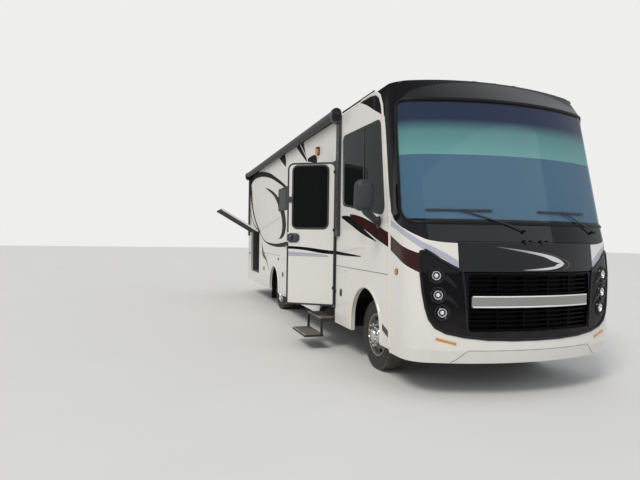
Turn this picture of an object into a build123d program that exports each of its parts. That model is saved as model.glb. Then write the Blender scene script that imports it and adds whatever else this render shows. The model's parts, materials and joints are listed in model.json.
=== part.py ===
from build123d import *
import math
import os

# Motorhome, modelled in millimetres. Before export the front faces -Y, the kerb side is -X,
# the ground is z = 0, the front axle is y = 0 and the body's middle plane is x = 0.

# Driving sizes of the body
BODY_WIDTH = 2560.0
WHEELBASE = 5283.0
NOSE_Y = -1475.0
REAR_Y = 8900.0
SKIRT_Z = 400.0
SEAM_Z = 1200.0
GUTTER_Z = 3340.0
ROOF_CROWN = 70.0
ROOF_THICK = 70.0
WALL = 50.0
GUTTER_RADIUS = 60.0
ROOF_SPLIT = 60.0
REAR_CORNER_RADIUS = 90.0
REAR_CAP_DEPTH = 140.0
DECK_Z = 1050.0
DECK_THICK = 50.0

# Bowed nose: one row per level, as height, how far the middle lies behind NOSE_Y, bow radius
NOSE_BOW = 2800.0
BROW_BOW = 5600.0
NOSE_CORNER = 300.0
BUMPER_Z = 370.0
CREASE_Z = 500.0
HOOD_LOW_Z = 1270.0
HOOD_TOP_Z = 1575.0
SCREEN_LOW_Z = 1800.0
SCREEN_TOP_Z = 3120.0
BROW_Z = 3430.0
NOSE_ROWS = [
    (BUMPER_Z, 30.0, NOSE_BOW),
    (CREASE_Z, 0.0, NOSE_BOW),
    (HOOD_LOW_Z, 10.0, NOSE_BOW),
    (HOOD_TOP_Z, 50.0, NOSE_BOW),
    (SCREEN_LOW_Z, 117.0, NOSE_BOW),
    (SCREEN_TOP_Z, 443.0, NOSE_BOW),
    (BROW_Z, 790.0, BROW_BOW),
]
BUMPER_TOP_Z = 592.0

# Seam between the front cap and the side walls, as y and z
CAP_SEAM = [(-705.0, 200.0), (-660.0, 1850.0), (-440.0, 3060.0), (-300.0, 3280.0), (-300.0, 3700.0)]

# Clearances
DOOR_GAP = 5.0
SEAT_GAP = 0.3
PIN_GAP = 0.3
GLASS_THICK = 6.0
GLASS_INSET = 4.0
FRAME_WIDE = 26.0
FRAME_PROUD = 4.0

# Wheels
TYRE_RADIUS = 419.0
TYRE_WIDE = 245.0
TYRE_INSET = 147.0
BEAD_RADIUS = 249.0
RIM_WIDE = 190.0
DUAL_SPACING = 292.0
ARCH_RADIUS = 452.0
ARCH_TOP_FRONT = 1000.0
ARCH_TOP_REAR = 950.0
KINGPIN_X = 850.0
HUB_RADIUS = 75.0
SPINDLE_RADIUS = 32.0

HALF = BODY_WIDTH / 2
INSIDE = HALF - WALL
TYRE_X = HALF - TYRE_INSET - TYRE_WIDE / 2
KERB = -1
STREET = 1


def box(x0, x1, y0, y1, z0, z1):
    """Block between two corners, whichever way round they are given."""
    middle = Pos((x0 + x1) / 2, (y0 + y1) / 2, (z0 + z1) / 2)
    return middle * Box(abs(x1 - x0), abs(y1 - y0), abs(z1 - z0))


def rounded(u0, u1, v0, v1, radius):
    """Rounded rectangle between two corners, flat on its sketch plane."""
    return Pos((u0 + u1) / 2, (v0 + v1) / 2) * RectangleRounded(abs(u1 - u0), abs(v1 - v0), radius)


def polygon(points):
    return make_face(Polyline(points, close=True))


def through_side(sketch, x0, x1):
    """Solid from a sketch in y and z, carried from x0 to x1."""
    low = min(x0, x1)
    return Pos(low, 0, 0) * extrude(Plane.YZ * sketch, abs(x1 - x0))


def through_front(sketch, y0, y1):
    """Solid from a sketch in x and z, carried from y0 to y1."""
    high = max(y0, y1)
    return Pos(0, high, 0) * extrude(Plane.XZ * sketch, abs(y1 - y0))


def rod(start, end, radius):
    """Round bar between two points."""
    a = Vector(*start)
    b = Vector(*end)
    plane = Plane(origin=a, z_dir=(b - a).normalized())
    return extrude(plane * Circle(radius), (b - a).length)


def flip(shape):
    """The same shape on the other side of the middle plane."""
    return mirror(shape, Plane.YZ)


def both(shape):
    return [shape, flip(shape)]


def solids_of(items):
    """All solids of a list of shapes, as one compound."""
    found = []
    for item in items:
        found.extend(item.solids())
    return Compound(found)


# Body shell

def plan_outline(z, setback, bow, inset):
    """Closed plan outline at one height: bowed front, rounded corners, straight sides."""
    half = HALF - inset
    front = NOSE_Y + setback + inset
    radius = bow - inset
    corner = NOSE_CORNER - inset
    rear = REAR_Y - inset
    rear_corner = max(REAR_CORNER_RADIUS - inset, 20.0)
    arc_y = front + radius
    corner_x = half - corner
    corner_y = arc_y - math.sqrt((radius - corner) ** 2 - corner_x ** 2)
    scale = radius / (radius - corner)
    touch = (corner_x * scale, arc_y + (corner_y - arc_y) * scale)
    turn = math.atan2(corner_y - touch[1], touch[0] - corner_x) / 2
    bend = (corner_x + corner * math.cos(turn), corner_y - corner * math.sin(turn))
    slant = rear_corner * math.sqrt(0.5)
    edges = [
        ThreePointArc((-touch[0], touch[1]), (0, front), touch),
        ThreePointArc(touch, bend, (half, corner_y)),
        Line((half, corner_y), (half, rear - rear_corner)),
        ThreePointArc(
            (half, rear - rear_corner),
            (half - rear_corner + slant, rear - rear_corner + slant),
            (half - rear_corner, rear),
        ),
        Line((half - rear_corner, rear), (-half + rear_corner, rear)),
        ThreePointArc(
            (-half + rear_corner, rear),
            (-half + rear_corner - slant, rear - rear_corner + slant),
            (-half, rear - rear_corner),
        ),
        Line((-half, rear - rear_corner), (-half, corner_y)),
        ThreePointArc((-half, corner_y), (-bend[0], bend[1]), (-touch[0], touch[1])),
    ]
    return Pos(0, 0, z) * make_face(Wire(edges))


def crown_prism(drop, side_inset):
    """Everything under a crowned roof line, over the body's whole length."""
    side = HALF - side_inset
    top = GUTTER_Z - drop
    radius = GUTTER_RADIUS
    slant = radius * (1 - math.sqrt(0.5))
    edges = [
        Line((-side, 0), (side, 0)),
        Line((side, 0), (side, top - radius)),
        ThreePointArc((side, top - radius), (side - slant, top - slant), (side - radius, top)),
        ThreePointArc((side - radius, top), (0, top + ROOF_CROWN), (radius - side, top)),
        ThreePointArc((radius - side, top), (slant - side, top - slant), (-side, top - radius)),
        Line((-side, top - radius), (-side, 0)),
    ]
    return through_front(make_face(Wire(edges)), NOSE_Y - 100, REAR_Y + 100)


def body_solid(inset, roof_drop):
    """Solid body form, set in from the outer surface by one thickness."""
    sections = [plan_outline(z, setback, bow, inset) for z, setback, bow in NOSE_ROWS]
    sections.append(plan_outline(BROW_Z + 60, NOSE_ROWS[-1][1] + 60, BROW_BOW, inset))
    form = loft(sections, ruled=True)
    return form & crown_prism(roof_drop, inset)


def nose_row(z):
    """Front-most y and bow radius of the nose at one height."""
    low, high, share = nose_rows_at(z)
    setback = low[1] * (1 - share) + high[1] * share
    bow = low[2] * (1 - share) + high[2] * share
    return NOSE_Y + setback, bow


def nose_rows_at(z):
    """The two rows that a height lies between, and how far up from the first."""
    low, high = NOSE_ROWS[0], NOSE_ROWS[-1]
    for first, second in zip(NOSE_ROWS, NOSE_ROWS[1:]):
        if first[0] <= z <= second[0]:
            low, high = first, second
    return low, high, (z - low[0]) / (high[0] - low[0])


def row_y(x, setback, bow):
    """Where one row of the nose lies at one x, on its bow or its rounded corner."""
    arc_y = NOSE_Y + setback + bow
    corner_x = HALF - NOSE_CORNER
    if abs(x) <= corner_x * bow / (bow - NOSE_CORNER):
        return arc_y - math.sqrt(bow ** 2 - x ** 2)
    corner_y = arc_y - math.sqrt((bow - NOSE_CORNER) ** 2 - corner_x ** 2)
    return corner_y - math.sqrt(NOSE_CORNER ** 2 - (abs(x) - corner_x) ** 2)


def front_y(x, z):
    """Where the nose's outer surface lies at one place."""
    low, high, share = nose_rows_at(z)
    return row_y(x, *low[1:]) * (1 - share) + row_y(x, *high[1:]) * share


OUTER = body_solid(0.0, 0.0)
INNER = body_solid(WALL, ROOF_THICK)
SHELL = OUTER - INNER - box(-INSIDE, INSIDE, -600, REAR_Y - WALL, BUMPER_Z - 10, BUMPER_Z + 60)

SEAM_POINTS = [(NOSE_Y - 300, 200.0)] + CAP_SEAM + [(NOSE_Y - 300, 3700.0)]
CAP_ZONE = through_side(polygon(SEAM_POINTS), -HALF - 200, HALF + 200)
WALL_TOP = GUTTER_Z - ROOF_SPLIT
REAR_SEAM = REAR_Y - REAR_CAP_DEPTH


# Openings, as y0, y1, z0, z1
DOORWAY = (1103.0, 1838.0, 617.0, 2685.0)
BAY = (7100.0, 8330.0, 652.0, 1748.0)
BAY_DEEP = 560.0
SLIDE = (1900.0, 4700.0, 1225.0, 3020.0)
LUGGAGE_Z = (428.0, 1163.0)
# side, name, y0, y1
LUGGAGE = [
    (KERB, "luggage_door_kerb_front", 690.0, 985.0),
    (KERB, "luggage_door_kerb_middle", 3150.0, 4560.0),
    (KERB, "luggage_door_kerb_rear", 5960.0, 6900.0),
    (STREET, "luggage_door_street_front", 1350.0, 3060.0),
    (STREET, "luggage_door_street_rear", 6100.0, 8300.0),
]
CAB_WINDOW = [(-515.0, 1886.0), (817.0, 2065.0), (850.0, 2975.0), (-362.0, 2945.0)]
# side, y0, y1, z0, z1
SIDE_WINDOWS = [
    (KERB, 3560.0, 4905.0, 2165.0, 2590.0),
    (STREET, 5300.0, 6500.0, 2165.0, 2765.0),
    (STREET, 7300.0, 8300.0, 2165.0, 2765.0),
]
SLIDE_WINDOW = (2500.0, 4100.0, 2065.0, 2765.0)
REAR_WINDOW = (-430.0, 430.0, 2250.0, 2850.0)
WINDOW_CORNER = 70.0
SILL_Z = DOORWAY[2] + 3.0
LUGGAGE_DEEP = 640.0


def opening(side, sketch):
    """Cutter for a hole through one side wall."""
    return through_side(sketch, side * (HALF + 60), side * (INSIDE - 60))


def cab_sketch():
    """Cab side window outline with rounded corners."""
    face = polygon(CAB_WINDOW)
    return fillet(face.vertices(), WINDOW_CORNER)


def arch_sketch(y, top, radius):
    """Wheel arch: half round above straight sides."""
    middle = top - radius
    return Pos(y, middle) * Circle(radius) + Pos(y, middle / 2) * Rectangle(2 * radius, middle)


def make_side_wall(side):
    wall = SHELL & box(side * (HALF + 10), side * (INSIDE - 200), -900, REAR_SEAM, SEAM_Z, WALL_TOP)
    wall = wall - CAP_ZONE
    wall = wall & box(side * (HALF + 10), side * (INSIDE - 1), -900, REAR_SEAM, SEAM_Z, WALL_TOP)
    wall -= opening(side, cab_sketch())
    for window_side, y0, y1, z0, z1 in SIDE_WINDOWS:
        if window_side == side:
            wall -= opening(side, rounded(y0, y1, z0, z1, WINDOW_CORNER))
    if side == KERB:
        wall -= opening(side, rounded(*DOORWAY[:2], DOORWAY[2] - 500, DOORWAY[3], 90))
        wall -= opening(side, rounded(*BAY, 30))
        wall += wall_knuckles(SEAM_Z, GUTTER_Z)
        wall += flap_lugs(KERB, BAY[0], BAY[1], BAY[3])
    else:
        wall -= box(HALF + 60, INSIDE - 60, *SLIDE)
    return wall


def make_skirt(side):
    skirt = SHELL & box(side * (HALF + 10), side * (INSIDE - 1), -900, REAR_SEAM, SKIRT_Z, SEAM_Z)
    skirt -= CAP_ZONE
    skirt -= opening(side, arch_sketch(0, ARCH_TOP_FRONT, ARCH_RADIUS))
    skirt -= opening(side, arch_sketch(WHEELBASE, ARCH_TOP_REAR, ARCH_RADIUS))
    for door_side, name, y0, y1 in LUGGAGE:
        if door_side == side:
            skirt -= opening(side, rounded(y0, y1, *LUGGAGE_Z, 25))
            skirt += flap_lugs(side, y0, y1, LUGGAGE_Z[1])
    if side == KERB:
        skirt -= opening(side, rounded(*DOORWAY[:2], SKIRT_Z - 200, SEAM_Z + 200, 30))
        skirt += wall_knuckles(SKIRT_Z, SEAM_Z)
        skirt -= opening(side, rounded(*BAY, 30))
    return skirt


BUMPER_HALF = 1180.0
REAR_BUMPER_Z = (425.0, 562.0)


def make_rear_cap():
    cap = SHELL & box(-HALF - 10, HALF + 10, REAR_SEAM, REAR_Y + 10, SKIRT_Z, WALL_TOP)
    window = through_front(rounded(*REAR_WINDOW, WINDOW_CORNER), REAR_Y + 60, REAR_SEAM - 60)
    behind_bumper = box(-BUMPER_HALF, BUMPER_HALF, REAR_SEAM - 10, REAR_Y + 10, SKIRT_Z - 10, REAR_BUMPER_Z[1])
    return cap - window - behind_bumper


def make_roof():
    """Crowned roof over a flat ceiling."""
    roof = OUTER & box(-HALF - 10, HALF + 10, -900, REAR_Y + 10, WALL_TOP, BROW_Z + 100)
    return roof - CAP_ZONE


# Edge of the windshield seen from the side, as y, z and corner radius
SCREEN_EDGE = [(-926.0, 1772.0, 200.0), (-678.0, 3103.0, 70.0)]
HOOD = (-832.0, 832.0, 1272.0, 1580.0)
HOOD_AXIS_Y = -1431.0
HOOD_AXIS_Z = 1584.0
HOOD_HINGE_X = (-130.0, 70.0)
HOOD_KNUCKLE = 5.0
HOOD_PIN = 2.0
GRILLE = (-742.0, 742.0, 690.0, 1262.0)
# x, z of the lamps on the street side
LAMPS = [(1044.0, 1241.0), (1026.0, 1048.0), (987.0, 874.0)]
LAMP_RADIUS = 68.0
LAMP_DEEP = 80.0
LAMP_GAP = 4.0


def lamp_plane(x, z):
    """Plane across the nose at one lamp, facing out."""
    y = front_y(x, z)
    slope = (front_y(x + 5, z) - front_y(x - 5, z)) / 10
    out = Vector(slope, -1, 0).normalized()
    return Plane(origin=(x, y, z), x_dir=(0, 0, 1), z_dir=out)


def screen_zone():
    """Everything ahead of the windshield's edge, right across the body."""
    ahead = NOSE_Y - 100
    low, high = SCREEN_EDGE
    face = polygon([(ahead, low[1]), low[:2], high[:2], (ahead, high[1])])
    for y, z, radius in SCREEN_EDGE:
        corner = face.vertices().sort_by_distance((y, z, 0))[0]
        face = fillet(corner, radius)
    return through_side(face, -HALF - 50, HALF + 50)


def make_front_cap():
    cap = SHELL & CAP_ZONE
    cap &= box(-HALF - 10, HALF + 10, NOSE_Y - 100, 0, HOOD[3] + 6, BROW_Z + 200)
    return cap - screen_zone() + hood_lugs()


def make_nose_panel():
    nose = SHELL & CAP_ZONE
    nose &= box(-HALF - 10, HALF + 10, NOSE_Y - 100, 0, BUMPER_TOP_Z, HOOD[3] + 6)
    nose -= box(HOOD[0], HOOD[1], NOSE_Y - 100, -900, HOOD[2], HOOD[3] + 50)
    nose -= through_front(rounded(*GRILLE, 40), NOSE_Y - 100, -900)
    for x, z in LAMPS:
        hole = extrude(lamp_plane(x, z) * Circle(LAMP_RADIUS + LAMP_GAP), 120, both=True)
        nose -= hole
        nose -= flip(hole)
    return nose


HOOD_THICK = 20.0
HOOD_LOW_GAP = 13.0


def make_hood():
    """Thin lid: a thick one would drop its inner edge into the nose panel as it lifts."""
    gap = DOOR_GAP
    skin = OUTER - body_solid(HOOD_THICK, 0.0)
    hood = skin & box(HOOD[0] + gap, HOOD[1] - gap, NOSE_Y - 100, -900, HOOD[2] + HOOD_LOW_GAP, HOOD[3])
    for x in HOOD_HINGE_X:
        hood += box(x, x + 60, HOOD_AXIS_Y - 3, HOOD_AXIS_Y + 30, HOOD_AXIS_Z - 28, HOOD_AXIS_Z - 4)
        hood += across(x, x + 60, HOOD_KNUCKLE)
        hood -= across(x - 1, x + 61, HOOD_PIN + PIN_GAP)
    return hood


def hood_lugs():
    """Lugs with pins on the cap above the hood's top edge."""
    lugs = None
    for x in HOOD_HINGE_X:
        for low, high in [(x - 20, x - SEAT_GAP), (x + 60 + SEAT_GAP, x + 80)]:
            lug = box(low, high, HOOD_AXIS_Y - 6, HOOD_AXIS_Y + 4, HOOD_AXIS_Z - 6, HOOD_AXIS_Z + 22)
            lug += box(low, high, HOOD_AXIS_Y - 6, HOOD_AXIS_Y + 34, HOOD_AXIS_Z + 4, HOOD_AXIS_Z + 22)
            lugs = lug if lugs is None else lugs + lug
        lugs += across(x - 10, x + 70, HOOD_PIN)
    return lugs


def across(x0, x1, radius):
    """Round bar on the hood's hinge line."""
    return rod((x0, HOOD_AXIS_Y, HOOD_AXIS_Z), (x1, HOOD_AXIS_Y, HOOD_AXIS_Z), radius)


def make_bumper():
    bumper = SHELL & CAP_ZONE
    return bumper & box(-HALF - 10, HALF + 10, NOSE_Y - 100, 0, BUMPER_Z, BUMPER_TOP_Z)


def make_windshield():
    outside = body_solid(GLASS_INSET, GLASS_INSET)
    inside = body_solid(GLASS_INSET + 2 * GLASS_THICK, GLASS_INSET + 2 * GLASS_THICK)
    return (outside - inside) & screen_zone()


def arc_slab(setback_out, setback_in, x_half, z0, z1):
    """Upright slab that follows the nose's bow between two setbacks."""
    outer = NOSE_BOW - setback_out
    inner = NOSE_BOW - setback_in
    ring = Circle(outer) - Circle(inner)
    slab = Pos(0, NOSE_Y + 10 + NOSE_BOW, z0) * extrude(ring, z1 - z0)
    return slab & box(-x_half, x_half, NOSE_Y - 100, -800, z0, z1)


BAR_Z = (935.0, 1038.0)
BAR_PROUD = 6.0
SLAT = 14.0
SLAT_PITCH = 44.0
GRILLE_RIM = 24.0
GRILLE_BACK = 14.0
BAYS_ACROSS = 5


def grille_holes():
    """Slots between the slats, in equal bays with an upright between two."""
    holes = []
    x0, x1, z0, z1 = GRILLE
    pitch = (x1 - x0 - 2 * GRILLE_RIM + SLAT) / BAYS_ACROSS
    rows = int((z1 - z0 - 2 * GRILLE_RIM + SLAT) / SLAT_PITCH)
    tall = (z1 - z0 - 2 * GRILLE_RIM + SLAT) / rows - SLAT
    for column in range(BAYS_ACROSS):
        left = x0 + GRILLE_RIM + column * pitch
        for row in range(rows):
            low = z0 + GRILLE_RIM + row * (tall + SLAT)
            holes.append(rounded(left, left + pitch - SLAT, low, low + tall, 6))
    return holes


def make_grille():
    frame = rounded(*GRILLE, 40)
    slab = arc_slab(GRILLE_BACK, WALL + 10, GRILLE[1] + 20, GRILLE[2] - 20, GRILLE[3] + 20)
    solid = slab & through_front(frame, NOSE_Y - 200, -800)
    return solid - [through_front(hole, NOSE_Y - 200, -800) for hole in grille_holes()]


def make_grille_bar():
    return arc_slab(-BAR_PROUD, GRILLE_BACK - SEAT_GAP, GRILLE[1] - 30, *BAR_Z)


def make_headlamps():
    lamps = []
    for x, z in LAMPS:
        plane = lamp_plane(x, z)
        body = extrude(plane.offset(-8) * Circle(LAMP_RADIUS), -LAMP_DEEP)
        ring = extrude(plane.offset(-WALL + 20) * Circle(LAMP_RADIUS + 22), -LAMP_DEEP + WALL - 20) & INNER
        lamps += both(body + ring)
    return solids_of(lamps)


# x, z of the lamps on the brow
MARKERS = [(-1165.0, 3391.0), (-265.0, 3400.0), (0.0, 3400.0), (265.0, 3400.0), (1165.0, 3391.0)]
# y, z of the lamps on both sides
SIDE_MARKERS = [(-856.0, 1254.0), (4836.0, 1124.0), (8560.0, 1124.0)]
# x, z of the slanted amber lamp in the bumper, street side
BUMPER_LAMP = [(855.0, 554.0), (1045.0, 602.0), (1045.0, 628.0), (855.0, 582.0)]
BUMPER_LAMP_SKIN = body_solid(-8.0, 0.0) - OUTER


def make_markers():
    items = []
    for x, z in MARKERS:
        y = front_y(x, z)
        foot = z - (60 if abs(x) > 1000 else 14)
        items.append(box(x - 34, x + 34, y - 24, y + 90, foot, z + 8) - OUTER)
    for side in (KERB, STREET):
        slit = polygon([(side * x, z) for x, z in BUMPER_LAMP])
        items.append(through_front(slit, NOSE_Y - 60, -1180) & BUMPER_LAMP_SKIN)
        for y, z in SIDE_MARKERS:
            items.append(box(side * (HALF + 14), side * HALF, y - 26, y + 26, z - 26, z + 26))
    items.append(box(-HALF - 45, -HALF, 2230, 2330, 3050, 3125))
    return solids_of(items)



def make_side_glass():
    panes = []
    near = HALF - GLASS_INSET
    far = near - GLASS_THICK
    for side in (KERB, STREET):
        panes.append(through_side(cab_sketch(), side * near, side * far))
    for side, y0, y1, z0, z1 in SIDE_WINDOWS:
        panes.append(through_side(rounded(y0, y1, z0, z1, WINDOW_CORNER), side * near, side * far))
    rear = through_front(rounded(*REAR_WINDOW, WINDOW_CORNER), REAR_Y - GLASS_INSET, REAR_Y - GLASS_INSET - GLASS_THICK)
    panes.append(rear)
    y0, y1, z0, z1 = BAY
    x = -INSIDE + BAY_DEEP - SHEET
    panes.append(box(x - 12, x, y0 + 120, y1 - 120, 1130, z1 - 60))
    return solids_of(panes)


def make_window_frames():
    frames = []
    for side in (KERB, STREET):
        ring = offset(cab_sketch(), FRAME_WIDE) - cab_sketch()
        frames.append(through_side(ring, side * HALF, side * (HALF + FRAME_PROUD)))
    for side, y0, y1, z0, z1 in SIDE_WINDOWS:
        w = FRAME_WIDE
        ring = rounded(y0 - w, y1 + w, z0 - w, z1 + w, WINDOW_CORNER + w) - rounded(y0, y1, z0, z1, WINDOW_CORNER)
        frames.append(through_side(ring, side * HALF, side * (HALF + FRAME_PROUD)))
    w = FRAME_WIDE
    x0, x1, z0, z1 = REAR_WINDOW
    ring = rounded(x0 - w, x1 + w, z0 - w, z1 + w, WINDOW_CORNER + w) - rounded(x0, x1, z0, z1, WINDOW_CORNER)
    frames.append(through_front(ring, REAR_Y, REAR_Y + FRAME_PROUD))
    return solids_of(frames)


# Doors and hatches

DOOR_OPEN = 57.5
HINGE_OUT = 12.0
LEAF_THICK = 42.0
DOOR_FOOT = 200.0
DOOR_WINDOW = (120.0, 650.0, 1735.0, 2630.0)


HINGE_Z = (820.0, 1650.0, 2480.0)
HINGE_TALL = 40.0
KNUCKLE_RADIUS = 9.0
HINGE_PIN = 4.0
HINGE_X = -HALF - HINGE_OUT
HINGE_Y = DOORWAY[0] - 3.0


def upright(radius, z0, z1):
    """Round bar on the entry door's hinge line."""
    return rod((HINGE_X, HINGE_Y, z0), (HINGE_X, HINGE_Y, z1), radius)


def wall_knuckles(low, high):
    """Fixed halves of the hinges between two heights, bored for the pins."""
    halves = None
    for z in HINGE_Z:
        if not low < z < high:
            continue
        half = upright(KNUCKLE_RADIUS, z, z + HINGE_TALL)
        half += box(HINGE_X + 2, -HALF + 2, HINGE_Y - 38, HINGE_Y, z, z + HINGE_TALL)
        half -= upright(HINGE_PIN + PIN_GAP, z - 1, z + HINGE_TALL + 1)
        halves = half if halves is None else halves + half
    return halves


def leaf_knuckles():
    """Moving halves of the hinges with their pins, in the closed place."""
    halves = None
    for z in HINGE_Z:
        low = z + HINGE_TALL + SEAT_GAP
        half = upright(KNUCKLE_RADIUS, low, low + HINGE_TALL)
        half += box(HINGE_X + 2, -HALF + 2, HINGE_Y + 4, HINGE_Y + 42, low, low + HINGE_TALL)
        half += upright(HINGE_PIN, z, low + HINGE_TALL)
        halves = half if halves is None else halves + half
    return halves


def door_leaf():
    """Entry door in its closed place, rounded at the top and square at the foot."""
    y0, y1, z0, z1 = DOORWAY
    gap = DOOR_GAP
    outline = rounded(y0 + gap, y1 - gap, z0 - DOOR_FOOT, z1 - gap, 86)
    leaf = through_side(outline, -HALF, -HALF + LEAF_THICK)
    leaf &= box(-HALF - 10, HALF, y0, y1, z0 + gap, z1)
    u0, u1, w0, w1 = DOOR_WINDOW
    leaf -= through_side(rounded(y0 + u0, y0 + u1, w0, w1, 45), -HALF - 10, -HALF + LEAF_THICK + 10)
    return leaf


def door_turn(shape):
    """Turn a closed-place shape to the door's rest position, about its hinge."""
    axis = Axis((HINGE_X, HINGE_Y, 0), (0, 0, 1))
    return shape.rotate(axis, DOOR_OPEN)


def make_entry_door():
    leaf = door_leaf()
    y0 = DOORWAY[0]
    plate = box(-HALF - 10, -HALF, y0 + 540, y0 + 720, 1525, 1670)
    return door_turn(leaf + plate + leaf_knuckles())


def make_door_glass():
    y0 = DOORWAY[0]
    u0, u1, w0, w1 = DOOR_WINDOW
    pane = through_side(rounded(y0 + u0, y0 + u1, w0, w1, 45), -HALF + 4, -HALF + 10)
    return door_turn(pane)


HATCH_OPEN = 120.0
FLAP_HINGE_OUT = 6.0
FLAP_THICK = 40.0


BARREL_RADIUS = 4.7
FLAP_PIN = 2.5
FLAP_PIN_LONG = 24.0
AXIS_DROP = 1.0


def along_body(x, y0, y1, z, radius):
    return rod((x, y0, z), (x, y1, z), radius)


def flap(side, y0, y1, z0, z1, corner):
    """Top-hinged flap in its closed place, with its hinge barrel."""
    gap = DOOR_GAP
    leaf = through_side(
        rounded(y0 + gap, y1 - gap, z0 + gap, z1 - gap, corner), side * HALF, side * (HALF - FLAP_THICK)
    )
    x = side * (HALF + FLAP_HINGE_OUT)
    z = z1 + AXIS_DROP
    leaf += box(side * (HALF + 9), side * (HALF - 1), y0 + 30, y1 - 30, z - 28, z - 2)
    leaf += along_body(x, y0 + gap, y1 - gap, z, BARREL_RADIUS)
    for start, end in [(y0, y0 + gap + FLAP_PIN_LONG + 2), (y1 - gap - FLAP_PIN_LONG - 2, y1)]:
        leaf -= along_body(x, start, end, z, FLAP_PIN + PIN_GAP)
    return leaf


def flap_lugs(side, y0, y1, z1):
    """Lugs with pins that carry one flap, on the body beside its opening."""
    x = side * (HALF + FLAP_HINGE_OUT)
    z = z1 + AXIS_DROP
    reach = DOOR_GAP + FLAP_PIN_LONG
    low = box(side * (HALF + 11), side * (HALF - 2), y0 - 26, y0 - 1, z - 6, z + 6)
    low += along_body(x, y0 - 5, y0 + reach, z, FLAP_PIN)
    high = box(side * (HALF + 11), side * (HALF - 2), y1 + 1, y1 + 26, z - 6, z + 6)
    high += along_body(x, y1 - reach, y1 + 5, z, FLAP_PIN)
    return low + high


def make_bay_hatch():
    axis = Axis((-HALF - FLAP_HINGE_OUT, 0, BAY[3] + AXIS_DROP), (0, 1, 0))
    return flap(KERB, *BAY, 26).rotate(axis, HATCH_OPEN)


def make_luggage_door(side, y0, y1):
    return flap(side, y0, y1, *LUGGAGE_Z, 20)


SLIDE_WALL = 35.0
SLIDE_DEEP = 780.0
SLIDE_LIP = 30.0
SLIDE_LIP_THICK = 22.0


def make_slide_room():
    y0, y1, z0, z1 = SLIDE
    gap = DOOR_GAP
    outer = box(HALF - SLIDE_DEEP, HALF + gap + 1, y0 + gap, y1 - gap, z0 + gap, z1 - gap)
    t = SLIDE_WALL
    hollow = box(HALF - SLIDE_DEEP - 10, HALF - 40, y0 + gap + t, y1 - gap - t, z0 + gap + t, z1 - gap - t)
    room = outer - hollow
    lip = through_side(
        rounded(y0 - SLIDE_LIP, y1 + SLIDE_LIP, z0 - 20, z1 + SLIDE_LIP, 30),
        HALF + gap,
        HALF + gap + SLIDE_LIP_THICK,
    )
    window = through_side(rounded(*SLIDE_WINDOW, WINDOW_CORNER), HALF - 200, HALF + 200)
    return room + lip - window


def make_slide_glass():
    x = HALF + DOOR_GAP + SLIDE_LIP_THICK - GLASS_INSET
    return through_side(rounded(*SLIDE_WINDOW, WINDOW_CORNER), x, x - GLASS_THICK)


# Floor, frame and what hangs from it

RAIL_X = 430.0
RAIL_TALL = 230.0
RAIL_FLANGE = 75.0
RAIL_WEB = 8.0
RAIL_LOW = 560.0
RAIL_START = -1150.0
PAD_WIDE = 75.0
PAD_TALL = 12.0
PAD_Y = 2400.0
CROSS_TALL = 75.0
FIREWALL_Y = -1080.0
FIREWALL_HALF = 1195.0
DASH_LOW = 1345.0
DOGHOUSE = (-385.0, 385.0, FIREWALL_Y, 60.0, 1340.0)
STEPWELL_X = -560.0
SHEET = 20.0


WELL_LOW = 800.0
# middle y, half length and inner x of the wheel wells
WHEEL_WELLS = [(0.0, 545.0, 590.0), (WHEELBASE, 470.0, 555.0)]


def make_deck():
    """Flat floor with its holes for the engine cover, the stepwell and the bay."""
    low = DECK_Z - DECK_THICK
    deck = INNER & box(-HALF, HALF, FIREWALL_Y + SHEET + SEAT_GAP, REAR_Y, low, DECK_Z)
    y0, y1 = DOORWAY[:2]
    deck -= box(-HALF, STEPWELL_X, y0 - 3, y1 + 3, low - 10, DECK_Z + 10)
    deck -= box(-HALF, -INSIDE + BAY_DEEP, *BAY[:2], low - 10, DECK_Z + 10)
    return deck - box(*DOGHOUSE[:4], low - 10, DECK_Z + 10)


def make_stepwell():
    """Entry well below the deck: a sill at the door's foot and one tread half way up."""
    t = SHEET
    y0, y1 = DOORWAY[:2]
    top = DECK_Z - DECK_THICK - SEAT_GAP
    well = box(-INSIDE, STEPWELL_X + t, y0 - 3 - t, y1 + 3 + t, SILL_Z - t, top)
    well -= box(-INSIDE - 10, STEPWELL_X, y0 - 3, y1 + 3, SILL_Z, DECK_Z)
    half_way = (SILL_Z + DECK_Z) / 2
    tread_x = -INSIDE + 330
    well += box(tread_x, tread_x + t, y0 - 10, y1 + 10, SILL_Z - 5, half_way)
    return well + box(tread_x, STEPWELL_X + t / 2, y0 - 10, y1 + 10, half_way - t, half_way)


def make_wheel_well(side, y, half_long, inner_x):
    """Three walls that close one wheel well, hung from the deck."""
    t = SHEET
    top = DECK_Z - DECK_THICK - SEAT_GAP
    walls = box(side * inner_x, side * INSIDE, y - half_long, y + half_long, WELL_LOW, top)
    return walls - box(side * (inner_x + t), side * HALF, y - half_long + t, y + half_long - t, 0, DECK_Z)


def make_floor():
    t = SHEET
    low = DECK_Z - DECK_THICK
    firewall = box(-FIREWALL_HALF, FIREWALL_HALF, FIREWALL_Y, FIREWALL_Y + t, low + 10, DASH_LOW)
    x0, x1, y0, y1, top = DOGHOUSE
    front = FIREWALL_Y + t + SEAT_GAP
    cover = box(x0 - t, x1 + t, front, y1 + t, DECK_Z + SEAT_GAP, top)
    cover -= box(x0, x1, front - 10, y1, DECK_Z - 10, top - t)
    parts = [make_deck(), firewall, cover, make_stepwell()]
    for row in WHEEL_WELLS:
        parts += [make_wheel_well(side, *row) for side in (KERB, STREET)]
    # rails that carry the slide room
    for y in (SLIDE[0] + 400, SLIDE[1] - 400):
        rail_top = SLIDE[2] + DOOR_GAP - SEAT_GAP
        parts.append(box(HALF - SLIDE_DEEP + 20, INSIDE, y - 30, y + 30, DECK_Z + SEAT_GAP, rail_top))
    return solids_of(parts)


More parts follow.
